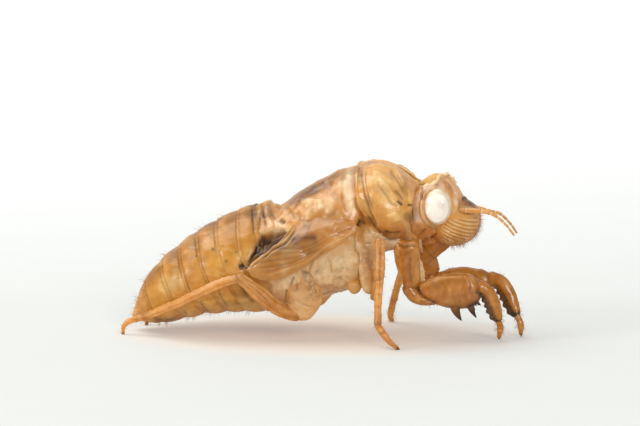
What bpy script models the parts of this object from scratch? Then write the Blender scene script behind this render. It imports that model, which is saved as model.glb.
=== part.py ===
"""Cicada shell: the cast skin of a full-grown cicada nymph, standing on its dried legs.

Frame: metres, +Z up, +X towards the head, +Y towards the animal's left side. The floor is z = 0
and the origin lies on it, under the middle of the shell's bounding box. Every measure below is
written in millimetres and turned into metres by MM when a mesh is made.

Each plate group of the skin that comes off as one piece is one closed solid. Neighbours keep a
gap of CLEARANCE: a piece that starts inside another is trimmed back to that gap by a Boolean
whose cutter is the other piece, swollen by the gap.
"""
import math

import bmesh
import bpy
import numpy as np

MM = 0.001
CLEARANCE = 0.33          # gap between neighbouring pieces
SHARP_ANGLE = math.radians(50)

BODY_SIDES = 24           # points around a body section
LIMB_SIDES = 8            # points around a leg or antenna section
PAD_SIDES = 8             # points around a wing pad section
SMOOTH_STEPS = 2          # sections to each stretch of a table
RING_STEPS = 10           # the same for the abdomen, before its rings are cut from the outline
SPINE_STEPS = 8           # the same for finding the place of a spine on its femur
END_REACH = 0.45          # how far a limb's rounded end reaches, in half widths
END_SHARE = 0.55          # and how wide it is there, in half widths
SPLIT_HALF_WIDTH = 0.048  # half angle of the split groove, as a share of a half turn
SIDES = {"left": 1, "right": -1}

# Body outline in the plane y = 0. A row is one section of the body:
# back x, back z, belly x, belly z, half width, depth of the split in the back.
ABDOMEN = [
    (-17.45, 1.35, -16.95, 0.95, 0.45, 0.0),
    (-17.00, 2.70, -16.10, 0.80, 1.50, 0.0),
    (-16.20, 4.50, -14.70, 0.80, 2.70, 0.0),
    (-14.60, 6.50, -12.30, 1.40, 4.00, 0.0),
    (-12.90, 7.95, -10.50, 1.85, 4.80, 0.0),
    (-11.30, 9.15, -8.40, 2.05, 5.30, 0.0),
    (-9.60, 10.15, -6.70, 2.10, 5.50, 0.0),
    (-7.60, 11.10, -5.00, 2.15, 5.45, 0.0),
    (-5.90, 11.70, -3.60, 2.30, 5.20, 0.0),
]
THORAX = [
    (-5.50, 11.80, -3.20, 2.50, 5.00, 0.0),
    (-3.70, 11.70, -1.80, 2.90, 5.00, 0.3),
    (-2.00, 13.00, -0.30, 3.30, 5.10, 0.9),
    (-0.20, 14.00, 1.40, 3.90, 5.10, 1.1),
    (1.60, 14.85, 3.10, 4.20, 5.00, 1.1),
    (3.00, 15.30, 4.70, 4.40, 4.60, 1.1),
]
PRONOTUM = [
    (3.35, 15.55, 4.35, 9.10, 4.80, 1.1),
    (4.30, 15.80, 5.10, 8.90, 5.30, 1.1),
    (5.60, 15.80, 6.10, 8.80, 5.45, 1.1),
    (7.40, 15.10, 7.40, 8.80, 5.20, 1.1),
    (8.70, 14.10, 8.40, 9.00, 4.60, 1.1),
]
HEAD = [
    (9.10, 14.00, 8.80, 8.20, 4.20, 1.0),
    (10.00, 14.55, 9.80, 8.10, 4.20, 0.9),
    (10.90, 14.60, 10.80, 8.20, 3.70, 0.8),
    (11.80, 14.10, 11.70, 8.50, 3.00, 0.4),
    (12.70, 12.60, 12.30, 8.90, 2.20, 0.0),
]

# The soft skin between the collar and the forelegs, part of the thorax, in the same form.
THROAT = [
    (2.60, 12.00, 3.40, 5.00, 4.20, 0.0),
    (3.50, 11.80, 4.50, 5.20, 4.25, 0.0),
    (4.40, 11.60, 5.50, 7.40, 4.10, 0.0),
    (5.80, 11.40, 6.60, 8.00, 3.90, 0.0),
    (7.60, 11.40, 8.10, 8.00, 3.50, 0.0),
]

ABDOMEN_SEGMENTS = 8
SEGMENT_STEP = 0.14       # how far each ring of the abdomen stands over the one behind it
SEGMENT_OVERLAP = 0.10    # share of a ring's length that the step takes up

EYE_CENTRE = (10.85, 3.85, 12.20)
EYE_RADII = (1.25, 1.00, 1.60)
FACE_CENTRE = (11.95, 0.0, 10.45)
FACE_RADII = (2.35, 3.25, 2.10)
FACE_TILT = math.radians(-14)
FACE_GRID = (16, 11)      # points around and bands of the face, then of each eye
EYE_GRID = (12, 9)

# Limb paths. A row is one station along a limb: x, distance out from the midline, z, half width
# in the plane the limb bends in, half thickness across that plane.
BEAK = [
    (11.10, 0.0, 8.95, 0.80, 1.00),
    (10.20, 0.0, 8.25, 0.92, 1.05),
    (9.20, 0.0, 7.45, 0.88, 0.90),
    (8.20, 0.0, 6.90, 0.70, 0.65),
    (7.50, 0.0, 6.40, 0.42, 0.40),
]
ANTENNAE = {
    "right": [
        (12.40, 2.10, 11.70, 0.26, 0.26),
        (13.60, 2.55, 11.75, 0.24, 0.24),
        (14.90, 2.80, 11.70, 0.19, 0.19),
        (15.90, 2.90, 11.35, 0.14, 0.14),
        (16.80, 2.95, 10.60, 0.11, 0.11),
        (17.40, 2.95, 9.85, 0.09, 0.09),
    ],
    "left": [
        (12.40, 2.10, 11.60, 0.26, 0.26),
        (13.60, 2.55, 11.40, 0.24, 0.24),
        (14.90, 2.80, 11.05, 0.19, 0.19),
        (15.80, 2.90, 10.85, 0.14, 0.14),
        (16.70, 2.95, 10.00, 0.11, 0.11),
        (17.20, 2.95, 9.30, 0.09, 0.09),
    ],
}

# The legs dried where they were: the right foreleg is drawn back, the left one reaches further,
# and the left middle leg is raised under the collar.
FORE_LEGS = {
    "right": {
        "coxa": [
            (7.95, 2.80, 9.40, 1.00, 0.85),
            (7.99, 3.05, 8.40, 1.12, 0.95),
            (8.13, 3.15, 7.15, 1.06, 0.95),
            (8.38, 3.20, 5.90, 0.82, 0.80),
            (8.50, 3.20, 5.10, 0.62, 0.65),
        ],
        "trochanter": [
            (8.15, 3.20, 4.85, 0.50, 0.60),
            (8.75, 3.20, 4.15, 0.62, 0.70),
            (9.60, 3.20, 3.80, 0.50, 0.68),
            (10.45, 3.20, 3.72, 0.30, 0.55),
        ],
        "femur": [
            (9.35, 3.15, 4.60, 0.50, 0.60),
            (10.50, 3.15, 4.66, 1.14, 0.90),
            (11.90, 3.10, 4.62, 1.52, 0.98),
            (13.10, 3.05, 4.62, 1.48, 0.92),
            (14.10, 2.95, 4.82, 0.98, 0.76),
        ],
        "tibia": [
            (14.45, 2.90, 5.00, 0.55, 0.55),
            (15.14, 2.80, 4.53, 0.64, 0.55),
            (15.60, 2.65, 3.65, 0.67, 0.52),
            (15.85, 2.40, 2.75, 0.58, 0.46),
            (16.05, 2.20, 2.10, 0.32, 0.30),
        ],
        "tarsus": [
            (16.15, 2.15, 1.85, 0.24, 0.24),
            (16.32, 2.05, 1.20, 0.29, 0.24),
            (16.20, 2.00, 0.55, 0.17, 0.15),
            (16.10, 1.98, 0.10, 0.10, 0.10),
        ],
    },
    "left": {
        "coxa": [
            (8.30, 2.80, 9.20, 0.90, 0.80),
            (8.70, 3.00, 7.90, 0.98, 0.80),
            (9.10, 3.00, 6.60, 0.98, 0.75),
            (9.45, 2.95, 5.40, 0.82, 0.62),
        ],
        "trochanter": [
            (9.45, 2.90, 5.05, 0.50, 0.55),
            (10.00, 2.80, 4.30, 0.60, 0.62),
            (11.10, 2.65, 3.95, 0.38, 0.52),
        ],
        "femur": [
            (10.20, 2.75, 4.60, 0.55, 0.60),
            (11.40, 2.55, 4.58, 1.20, 0.85),
            (12.60, 2.35, 4.56, 1.46, 0.92),
            (13.90, 2.05, 4.62, 1.22, 0.86),
            (14.75, 1.80, 4.90, 0.80, 0.68),
        ],
        "tibia": [
            (15.10, 1.70, 5.20, 0.52, 0.52),
            (16.00, 1.45, 4.78, 0.66, 0.55),
            (16.65, 1.20, 3.85, 0.72, 0.52),
            (17.10, 0.90, 2.85, 0.62, 0.46),
            (17.45, 0.60, 2.15, 0.34, 0.30),
        ],
        "tarsus": [
            (17.60, 0.55, 1.95, 0.25, 0.24),
            (17.92, 0.42, 1.20, 0.30, 0.24),
            (17.95, 0.35, 0.50, 0.17, 0.15),
            (17.90, 0.32, 0.10, 0.10, 0.10),
        ],
    },
}
MID_LEGS = {
    "right": {
        "coxa": [
            (4.10, 3.80, 7.60, 0.48, 0.50),
            (4.45, 4.00, 6.50, 0.62, 0.58),
            (4.72, 4.10, 5.40, 0.66, 0.60),
            (4.92, 4.10, 4.75, 0.46, 0.46),
        ],
        "femur": [
            (5.30, 4.35, 4.15, 0.36, 0.38),
            (5.68, 5.00, 5.70, 0.42, 0.38),
            (5.86, 5.50, 7.40, 0.44, 0.38),
            (5.94, 5.85, 8.90, 0.42, 0.36),
        ],
        "tibia": [
            (6.02, 6.60, 9.30, 0.46, 0.36),
            (6.06, 6.80, 7.60, 0.48, 0.38),
            (6.04, 6.92, 6.20, 0.42, 0.36),
            (5.98, 7.05, 4.80, 0.34, 0.33),
            (5.95, 7.30, 2.30, 0.33, 0.32),
        ],
        "tarsus": [
            (6.00, 7.40, 2.00, 0.30, 0.28),
            (6.45, 7.55, 1.35, 0.30, 0.26),
            (7.00, 7.70, 0.72, 0.27, 0.24),
            (7.62, 7.85, 0.25, 0.17, 0.16),
            (7.92, 7.92, 0.11, 0.10, 0.10),
        ],
    },
    "left": {
        "coxa": [
            (3.80, 3.30, 6.10, 0.80, 0.80),
            (4.10, 4.10, 6.60, 0.80, 0.75),
            (4.50, 4.70, 7.10, 0.60, 0.55),
        ],
        "femur": [
            (4.55, 4.80, 7.15, 0.45, 0.45),
            (5.40, 5.30, 7.70, 0.50, 0.45),
            (6.50, 5.80, 8.20, 0.48, 0.42),
            (7.50, 6.10, 8.55, 0.42, 0.38),
        ],
        "tibia": [
            (7.65, 6.15, 8.45, 0.40, 0.38),
            (7.00, 6.45, 6.40, 0.38, 0.36),
            (6.25, 6.85, 4.10, 0.34, 0.33),
            (5.72, 7.20, 2.30, 0.33, 0.32),
        ],
        "tarsus": [
            (5.60, 7.30, 1.95, 0.32, 0.30),
            (5.42, 7.45, 1.20, 0.32, 0.28),
            (5.32, 7.60, 0.55, 0.26, 0.22),
            (5.40, 7.90, 0.20, 0.14, 0.14),
            (5.48, 8.15, 0.11, 0.10, 0.10),
        ],
    },
}
HIND_FEMUR = [
    (-1.75, 4.30, 2.30, 0.46, 0.50),
    (-2.90, 4.75, 2.75, 0.60, 0.52),
    (-4.05, 5.35, 3.65, 0.66, 0.50),
    (-5.20, 5.90, 4.75, 0.60, 0.46),
    (-6.45, 6.35, 5.85, 0.40, 0.38),
]
HIND_COXA = [
    (-1.35, 4.30, 6.00, 0.80, 0.42),
    (-1.15, 4.25, 5.00, 1.30, 0.52),
    (-1.05, 4.20, 3.95, 1.58, 0.62),
    (-1.40, 4.22, 3.05, 1.25, 0.58),
    (-1.75, 4.25, 2.55, 0.75, 0.45),
]
HIND_LEGS = {
    "right": {
        "coxa": HIND_COXA,
        "femur": HIND_FEMUR,
        "tibia": [
            (-6.85, 6.40, 5.75, 0.36, 0.34),
            (-8.30, 6.50, 5.30, 0.40, 0.36),
            (-10.20, 6.25, 4.40, 0.38, 0.34),
            (-12.30, 5.35, 3.30, 0.36, 0.32),
            (-14.20, 4.20, 2.40, 0.34, 0.30),
            (-15.60, 3.30, 1.75, 0.28, 0.26),
        ],
        "tarsus": [
            (-15.50, 3.25, 1.75, 0.28, 0.26),
            (-16.40, 2.95, 1.50, 0.30, 0.26),
            (-17.20, 2.85, 1.20, 0.27, 0.24),
            (-17.70, 2.80, 0.75, 0.19, 0.18),
            (-17.78, 2.75, 0.12, 0.12, 0.12),
        ],
    },
    "left": {
        "coxa": HIND_COXA,
        "femur": HIND_FEMUR,
        "tibia": [
            (-6.85, 6.40, 5.75, 0.36, 0.34),
            (-8.30, 6.50, 5.25, 0.40, 0.36),
            (-10.10, 6.25, 4.30, 0.38, 0.34),
            (-12.10, 5.40, 3.15, 0.36, 0.32),
            (-13.80, 4.40, 2.20, 0.34, 0.30),
            (-15.10, 3.55, 1.50, 0.28, 0.26),
        ],
        "tarsus": [
            (-15.20, 3.50, 1.45, 0.20, 0.20),
            (-16.00, 3.10, 1.00, 0.20, 0.20),
            (-16.60, 2.80, 0.60, 0.18, 0.18),
            (-16.70, 2.70, 0.08, 0.13, 0.13),
        ],
    },
}
LEG_SETS = {"fore": FORE_LEGS, "mid": MID_LEGS, "hind": HIND_LEGS}
LEG_SEATS = {
    "fore": ("throat", "pronotum", "head"),
    "mid": ("throat", "thorax", "pronotum"),
    "hind": ("thorax", "abdomen"),
}

# Spines under the digging femora: place along the limb as a share of its length, base radius,
# length. They lean towards the knee by SPINE_LEAN for each unit of length.
FEMUR_SPINES = [(0.58, 0.62, 1.95), (0.87, 0.50, 2.05)]
SPINE_SIDES = 8
SPINE_LEAN = 0.32
SPINE_SUNK = 0.85         # how deep a spine's base starts inside the femur
SPINE_PROFILE = [(0.0, 1.0), (0.45, 0.72), (1.0, 0.10)]   # share of the length and the radius

# Wing pads. A row is one section from the shoulder to the tip: upper edge x, out, z,
# lower edge x, out, z, half thickness.
FOREWING_PAD = [
    (3.50, 4.25, 11.30, 3.60, 4.95, 9.95, 0.28),
    (2.20, 4.30, 12.00, 2.50, 5.45, 9.15, 0.36),
    (0.30, 4.45, 11.90, 0.90, 5.90, 8.05, 0.40),
    (-1.50, 4.85, 10.90, -0.90, 6.20, 6.80, 0.38),
    (-2.90, 5.65, 9.30, -2.80, 6.40, 5.90, 0.34),
    (-4.30, 6.10, 8.00, -4.40, 6.45, 5.65, 0.30),
    (-5.85, 6.20, 6.90, -6.00, 6.25, 6.35, 0.20),
]
HINDWING_PAD = [
    (-1.50, 4.70, 10.00, -1.30, 5.20, 8.60, 0.20),
    (-2.90, 5.00, 9.50, -2.90, 5.55, 7.20, 0.26),
    (-4.50, 5.35, 8.30, -4.50, 5.70, 6.40, 0.26),
    (-6.20, 5.45, 7.00, -6.20, 5.60, 6.50, 0.20),
]

# Colour, roughness of each kind of skin.
SKINS = {
    "abdomen_skin": ((0.56, 0.30, 0.10), 0.42),
    "thorax_skin": ((0.62, 0.42, 0.24), 0.45),
    "collar_skin": ((0.56, 0.30, 0.12), 0.38),
    "head_skin": ((0.52, 0.26, 0.10), 0.40),
    "face_skin": ((0.42, 0.19, 0.06), 0.35),
    "eye_cap": ((0.86, 0.80, 0.66), 0.20),
    "antenna_skin": ((0.56, 0.30, 0.12), 0.45),
    "wing_pad_skin": ((0.48, 0.25, 0.09), 0.40),
    "digging_leg_skin": ((0.38, 0.15, 0.04), 0.32),
    "walking_leg_skin": ((0.56, 0.30, 0.12), 0.40),
}


def clear_scene():
    """Remove every object that the scene starts with."""
    for item in list(bpy.data.objects):
        bpy.data.objects.remove(item, do_unlink=True)


def make_skins():
    """One material for each kind of skin."""
    materials = {}
    for name, (colour, roughness) in SKINS.items():
        material = bpy.data.materials.new(name)
        material.use_nodes = True
        shader = material.node_tree.nodes["Principled BSDF"]
        shader.inputs["Base Color"].default_value = (*colour, 1.0)
        shader.inputs["Roughness"].default_value = roughness
        shader.inputs["Metallic"].default_value = 0.0
        materials[name] = material
    return materials


def smooth_rows(rows, steps):
    """Rows on a smooth (Catmull-Rom) curve through the given rows, steps to a stretch."""
    rows = np.array(rows, dtype=float)
    padded = np.vstack([2 * rows[0] - rows[1], rows, 2 * rows[-1] - rows[-2]])
    result = []
    for start in range(len(rows) - 1):
        before, first, second, after = padded[start:start + 4]
        for step in range(steps):
            t = step / steps
            result.append(
                0.5 * (2 * first + (second - before) * t
                       + (2 * before - 5 * first + 4 * second - after) * t ** 2
                       + (3 * first - before - 3 * second + after) * t ** 3)
            )
    result.append(rows[-1])
    return result


def loft(name, rings, skin):
    """A closed solid through rings of points in millimetres, with flat ends."""
    bm = bmesh.new()
    layers = []
    for ring in rings:
        layers.append([bm.verts.new(tuple(np.array(point) * MM)) for point in ring])
    sides = len(layers[0])
    for lower, upper in zip(layers, layers[1:]):
        for k in range(sides):
            after = (k + 1) % sides
            bm.faces.new((lower[k], lower[after], upper[after], upper[k]))
    bm.faces.new(layers[0])
    bm.faces.new(layers[-1])
    bmesh.ops.recalc_face_normals(bm, faces=bm.faces)
    mesh = bpy.data.meshes.new(name)
    bm.to_mesh(mesh)
    bm.free()
    mesh.materials.append(skin)
    mesh.shade_smooth()
    mesh.set_sharp_from_angle(angle=SHARP_ANGLE)
    node = bpy.data.objects.new(name, mesh)
    bpy.context.collection.objects.link(node)
    return node


def body_ring(row):
    """One elliptical body section, notched at the back where the skin split."""
    back_x, back_z, belly_x, belly_z, half_width, notch = row
    back = np.array((back_x, 0.0, back_z))
    belly = np.array((belly_x, 0.0, belly_z))
    middle = (back + belly) / 2
    up = (back - belly) / 2
    down = -up / np.linalg.norm(up)
    ring = [back + down * notch]
    lip = SPLIT_HALF_WIDTH * math.pi
    for angle in np.linspace(lip, 2 * math.pi - lip, BODY_SIDES - 1):
        across = np.array((0.0, half_width * math.sin(angle), 0.0))
        ring.append(middle + up * math.cos(angle) + across)
    return ring


def body_part(name, rows, skin):
    """A body part lofted through its sections."""
    return loft(name, [body_ring(row) for row in rows], skin)


def shrunk(row, step):
    """A body section drawn in by the step all round."""
    back_x, back_z, belly_x, belly_z, half_width, notch = row
    depth = math.hypot(back_x - belly_x, back_z - belly_z)
    share = step / depth
    return (
        back_x + (belly_x - back_x) * share,
        back_z + (belly_z - back_z) * share,
        belly_x + (back_x - belly_x) * share,
        belly_z + (back_z - belly_z) * share,
        half_width - step,
        notch,
    )


def ringed_rows(rows):
    """The abdomen's sections: each ring stands a step proud of the next one towards the tail."""
    outline = np.array(smooth_rows(rows, RING_STEPS))
    places = np.linspace(0.0, len(outline) - 1, ABDOMEN_SEGMENTS + 1)
    overlap = SEGMENT_OVERLAP * (places[1] - places[0])
    columns = range(outline.shape[1])

    def section(place):
        return [np.interp(place, np.arange(len(outline)), outline[:, k]) for k in columns]

    result = [section(places[0])]
    for border in places[1:-1]:
        result.append(shrunk(section(border - overlap), SEGMENT_STEP))
        result.append(section(border))
    result.append(section(places[-1]))
    return result


def oval_ring(centre, wide, thin, sides=LIMB_SIDES):
    """Points on the ellipse with the two given half axes."""
    ring = []
    for k in range(sides):
        angle = 2 * math.pi * k / sides
        ring.append(centre + wide * math.cos(angle) + thin * math.sin(angle))
    return ring


def limb(name, rows, skin, side=1):
    """A limb segment: a tube of changing oval section with rounded ends."""
    stations = []
    for x, out, z, wide, thin in smooth_rows(rows, SMOOTH_STEPS):
        stations.append((np.array((x, side * out, z)), wide, thin))
    rings = []
    last = len(stations) - 1
    for k, (centre, wide, thin) in enumerate(stations):
        ahead = stations[min(k + 1, last)][0] - stations[max(k - 1, 0)][0]
        ahead = ahead / np.linalg.norm(ahead)
        across = np.array((0.0, 1.0, 0.0))
        across = across - ahead * across.dot(ahead)
        across = across / np.linalg.norm(across)
        upright = np.cross(across, ahead)
        if k == 0:
            tip = centre - ahead * wide * END_REACH
            rings.append(oval_ring(tip, upright * wide * END_SHARE, across * thin * END_SHARE))
        rings.append(oval_ring(centre, upright * wide, across * thin))
        if k == last:
            tip = centre + ahead * wide * END_REACH
            rings.append(oval_ring(tip, upright * wide * END_SHARE, across * thin * END_SHARE))
    return loft(name, rings, skin)


def wing_pad(name, rows, skin, side):
    """A flat leaf between its upper and lower edge, thin across."""
    rings = []
    for row in smooth_rows(rows, SMOOTH_STEPS):
        upper = np.array((row[0], side * row[1], row[2]))
        lower = np.array((row[3], side * row[4], row[5]))
        wide = (upper - lower) / 2
        across = np.cross(wide, (1.0, 0.0, 0.0))
        across = across / np.linalg.norm(across)
        rings.append(oval_ring((upper + lower) / 2, wide, across * row[6], PAD_SIDES))
    return loft(name, rings, skin)


def ovoid(name, centre, radii, tilt, skin, grid):
    """A ball stretched to three radii and turned about the crossways axis."""
    bm = bmesh.new()
    bmesh.ops.create_uvsphere(bm, u_segments=grid[0], v_segments=grid[1], radius=1.0)
    for vert in bm.verts:
        x, y, z = (vert.co[axis] * radii[axis] for axis in range(3))
        vert.co = (
            (centre[0] + x * math.cos(tilt) + z * math.sin(tilt)) * MM,
            (centre[1] + y) * MM,
            (centre[2] - x * math.sin(tilt) + z * math.cos(tilt)) * MM,
        )
    mesh = bpy.data.meshes.new(name)
    bm.to_mesh(mesh)
    bm.free()
    mesh.materials.append(skin)
    mesh.shade_smooth()
    node = bpy.data.objects.new(name, mesh)
    bpy.context.collection.objects.link(node)
    return node


def hide_cutter(cutter):
    """Mark an object that only shapes others."""
    cutter.hide_render = True
    cutter.display_type = "WIRE"


def swollen_copy(node):
    """A cutter of the node's shape, grown by the clearance along its normals."""
    mesh = node.data.copy()
    normals = [vert.normal.copy() for vert in mesh.vertices]
    for vert, normal in zip(mesh.vertices, normals):
        vert.co += normal * CLEARANCE * MM
    cutter = bpy.data.objects.new("cutter_" + node.name, mesh)
    bpy.context.collection.objects.link(cutter)
    hide_cutter(cutter)
    return cutter


def combine(node, other, operation):
    """Add an exact Boolean of the other object to the node."""
    modifier = node.modifiers.new(operation.lower() + "_" + other.name, "BOOLEAN")
    modifier.operation = operation
    modifier.object = other
    modifier.solver = "EXACT"


def trim(node, *neighbours):
    """Cut the node back to the clearance from each neighbour."""
    for neighbour in neighbours:
        combine(node, swollen_copy(neighbour), "DIFFERENCE")


def add_spines(femur, rows, side):
    """Join the pointed spines to the lower edge of a digging femur."""
    path = smooth_rows(rows, SPINE_STEPS)
    for number, (place, radius, length) in enumerate(FEMUR_SPINES):
        x, out, z, wide, _ = path[round(place * (len(path) - 1))]
        top = np.array((x, side * out, z - wide + SPINE_SUNK))
        fall = np.array((SPINE_LEAN, 0.0, -1.0)) * length
        rings = []
        for share, width in SPINE_PROFILE:
            centre = top + fall * share
            forward = np.array((radius * width, 0.0, 0.0))
            across = np.array((0.0, radius * width, 0.0))
            rings.append(oval_ring(centre, forward, across, SPINE_SIDES))
        spine = loft(f"{femur.name}_spine_{number + 1}", rings, femur.data.materials[0])
        hide_cutter(spine)
        combine(femur, spine, "UNION")


def add_throat(thorax):
    """Join the skin under the collar to the thorax. Returns the solid that shapes it."""
    rows = smooth_rows(THROAT, SMOOTH_STEPS)
    throat = body_part("throat", rows, thorax.data.materials[0])
    hide_cutter(throat)
    combine(thorax, throat, "UNION")
    return throat


def build_body(skins):
    """Abdomen, thorax, collar, head capsule, face, eye caps and beak."""
    parts = {
        "abdomen": body_part("abdomen", ringed_rows(ABDOMEN), skins["abdomen_skin"]),
        "thorax": body_part("thorax", smooth_rows(THORAX, SMOOTH_STEPS), skins["thorax_skin"]),
        "pronotum": body_part("pronotum", smooth_rows(PRONOTUM, SMOOTH_STEPS), skins["collar_skin"]),
        "head": body_part("head", smooth_rows(HEAD, SMOOTH_STEPS), skins["head_skin"]),
        "face": ovoid("face", FACE_CENTRE, FACE_RADII, FACE_TILT, skins["face_skin"],
                      FACE_GRID),
        "beak": limb("beak", BEAK, skins["head_skin"]),
    }
    parts["throat"] = add_throat(parts["thorax"])
    trim(parts["thorax"], parts["pronotum"], parts["head"])
    trim(parts["face"], parts["head"])
    trim(parts["beak"], parts["head"], parts["face"])
    for side_name, side in SIDES.items():
        x, out, z = EYE_CENTRE
        eye = ovoid("eye_" + side_name, (x, side * out, z), EYE_RADII, 0.0,
                    skins["eye_cap"], EYE_GRID)
        trim(parts["head"], eye)
        parts[eye.name] = eye
    return parts


def build_antennae(body, skins):
    """Both feelers, each seated against the head and the face."""
    for side_name, side in SIDES.items():
        antenna = limb("antenna_" + side_name, ANTENNAE[side_name], skins["antenna_skin"], side)
        trim(antenna, body["head"], body["face"])


def build_wing_pads(body, skins):
    """Fore and hind wing pads, lying on the flanks."""
    pads = {}
    for side_name, side in SIDES.items():
        skin = skins["wing_pad_skin"]
        fore = wing_pad("forewing_pad_" + side_name, FOREWING_PAD, skin, side)
        hind = wing_pad("hindwing_pad_" + side_name, HINDWING_PAD, skin, side)
        trim(hind, body["thorax"], body["abdomen"], fore)
        trim(fore, body["thorax"], body["abdomen"])
        pads[side_name] = (fore, hind)
    return pads


def build_leg(pair, side_name, body, skins):
    """One leg from its coxa out, trimmed to the body and to the segments that carry it."""
    skin = skins["digging_leg_skin" if pair == "fore" else "walking_leg_skin"]
    side = SIDES[side_name]
    carriers = [body[name] for name in LEG_SEATS[pair]]
    for segment, rows in LEG_SETS[pair][side_name].items():
        node = limb(f"{pair}_{segment}_{side_name}", rows, skin, side)
        if pair == "fore" and segment == "femur":
            add_spines(node, rows, side)
        trim(node, *carriers)
        carriers.append(node)


def build():
    """The whole shell."""
    clear_scene()
    skins = make_skins()
    body = build_body(skins)
    build_antennae(body, skins)
    build_wing_pads(body, skins)
    for pair in LEG_SETS:
        for side_name in SIDES:
            build_leg(pair, side_name, body, skins)


build()
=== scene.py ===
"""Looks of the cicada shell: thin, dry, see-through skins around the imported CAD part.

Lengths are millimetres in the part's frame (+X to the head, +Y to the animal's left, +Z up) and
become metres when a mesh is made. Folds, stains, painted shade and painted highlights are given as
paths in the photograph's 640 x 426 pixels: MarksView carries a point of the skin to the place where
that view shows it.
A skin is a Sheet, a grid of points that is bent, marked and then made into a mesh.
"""
import math

import bpy
import numpy as np
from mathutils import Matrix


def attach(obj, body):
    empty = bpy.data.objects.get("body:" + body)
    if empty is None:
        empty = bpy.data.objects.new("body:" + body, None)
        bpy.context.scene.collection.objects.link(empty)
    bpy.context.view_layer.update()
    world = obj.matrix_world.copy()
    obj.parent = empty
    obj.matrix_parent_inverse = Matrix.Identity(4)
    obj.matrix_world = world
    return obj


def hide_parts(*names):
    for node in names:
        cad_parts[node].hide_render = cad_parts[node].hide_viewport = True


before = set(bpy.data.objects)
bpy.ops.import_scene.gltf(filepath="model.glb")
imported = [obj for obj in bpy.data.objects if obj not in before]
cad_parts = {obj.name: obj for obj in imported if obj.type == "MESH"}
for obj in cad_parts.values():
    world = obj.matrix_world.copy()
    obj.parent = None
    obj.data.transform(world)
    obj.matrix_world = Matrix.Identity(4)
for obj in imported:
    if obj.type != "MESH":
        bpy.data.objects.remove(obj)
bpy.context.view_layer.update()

MM = 0.001
SIDES = {"left": 1, "right": -1}
# The last tint is painted shade, the dark of gaps and holes between the skins.
TINTS = ("dark", "pale", "dirt", "amber", "hole")

# The viewing angle, and the picture it gives.
VIEW_AZIMUTH = math.radians(8)
VIEW_ELEVATION = math.radians(7)
VIEW_DISTANCE = 280.0
VIEW_TARGET = np.array((-0.2, 0.0, 11.0))
MM_PER_PIXEL = 0.09
PICTURE_CENTRE = np.array((320.0, 213.0))
SENSOR_WIDTH = 36.0
PICTURE_WIDTH = 640

SKIN_THICKNESS = 0.09

HALF_WIDTH = 4            # the column of a body row that holds its half width

# Body outlines in the plane y = 0, with the sections of the CAD solids: back x, back z,
# belly x, belly z, half width.
ABDOMEN = [
    (-17.45, 1.35, -16.95, 0.95, 0.45),
    (-17.00, 2.70, -16.10, 0.80, 1.50),
    (-16.20, 4.50, -14.70, 0.80, 2.70),
    (-14.60, 6.50, -12.30, 1.40, 4.00),
    (-12.90, 7.95, -10.50, 1.85, 4.80),
    (-11.30, 9.15, -8.40, 2.05, 5.30),
    (-9.60, 10.15, -6.70, 2.10, 5.50),
    (-7.60, 11.10, -5.00, 2.15, 5.45),
    (-5.90, 11.70, -3.60, 2.30, 5.20),
]
THORAX = [
    (-5.50, 11.80, -3.20, 2.50, 5.00),
    (-3.70, 11.70, -1.80, 2.90, 5.00),
    (-2.00, 13.00, -0.30, 3.30, 5.10),
    (-0.20, 14.00, 1.40, 3.90, 5.10),
    (1.60, 14.85, 3.10, 4.20, 5.00),
    (3.00, 15.30, 4.70, 4.40, 4.60),
]
PRONOTUM = [
    (3.35, 15.55, 4.35, 9.10, 4.80),
    (4.30, 15.80, 5.10, 8.90, 5.30),
    (5.60, 15.80, 6.10, 8.80, 5.45),
    (7.40, 15.10, 7.40, 8.80, 5.20),
    (8.70, 14.10, 8.40, 9.00, 4.60),
]
HEAD = [
    (9.10, 14.00, 8.80, 8.20, 4.20),
    (10.00, 14.55, 9.80, 8.10, 4.20),
    (10.90, 14.60, 10.80, 8.20, 3.70),
    (11.80, 14.10, 11.70, 8.50, 3.00),
    (12.70, 12.60, 12.30, 8.90, 2.20),
]

EYE_CENTRE = np.array((10.85, 3.85, 12.20))
EYE_RADII = (1.25, 1.00, 1.60)
FACE_CENTRE = np.array((11.95, 0.0, 10.45))
FACE_RADII = (2.35, 3.25, 2.10)
FACE_TILT = math.radians(-14)

# Limb paths, with the stations of the CAD solids: x, distance out from the midline, z,
# half width in the plane that the limb bends in, half thickness across it. The first station
# of the right fore coxa, hidden under the collar, is only here, and the tarsi stop before
# their claws, which are sheets of their own.
BEAK = [
    (11.10, 0.0, 8.95, 0.80, 1.00),
    (10.20, 0.0, 8.25, 0.92, 1.05),
    (9.20, 0.0, 7.45, 0.88, 0.90),
    (8.20, 0.0, 6.90, 0.70, 0.65),
    (7.50, 0.0, 6.40, 0.42, 0.40),
]
ANTENNAE = {
    "right": [
        (12.40, 2.10, 11.70, 0.26, 0.26),
        (13.60, 2.55, 11.75, 0.24, 0.24),
        (14.90, 2.80, 11.70, 0.19, 0.19),
        (15.90, 2.90, 11.35, 0.14, 0.14),
        (16.80, 2.95, 10.60, 0.11, 0.11),
        (17.40, 2.95, 9.85, 0.09, 0.09),
    ],
    "left": [
        (12.40, 2.10, 11.60, 0.26, 0.26),
        (13.60, 2.55, 11.40, 0.24, 0.24),
        (14.90, 2.80, 11.05, 0.19, 0.19),
        (15.80, 2.90, 10.85, 0.14, 0.14),
        (16.70, 2.95, 10.00, 0.11, 0.11),
        (17.20, 2.95, 9.30, 0.09, 0.09),
    ],
}
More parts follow.
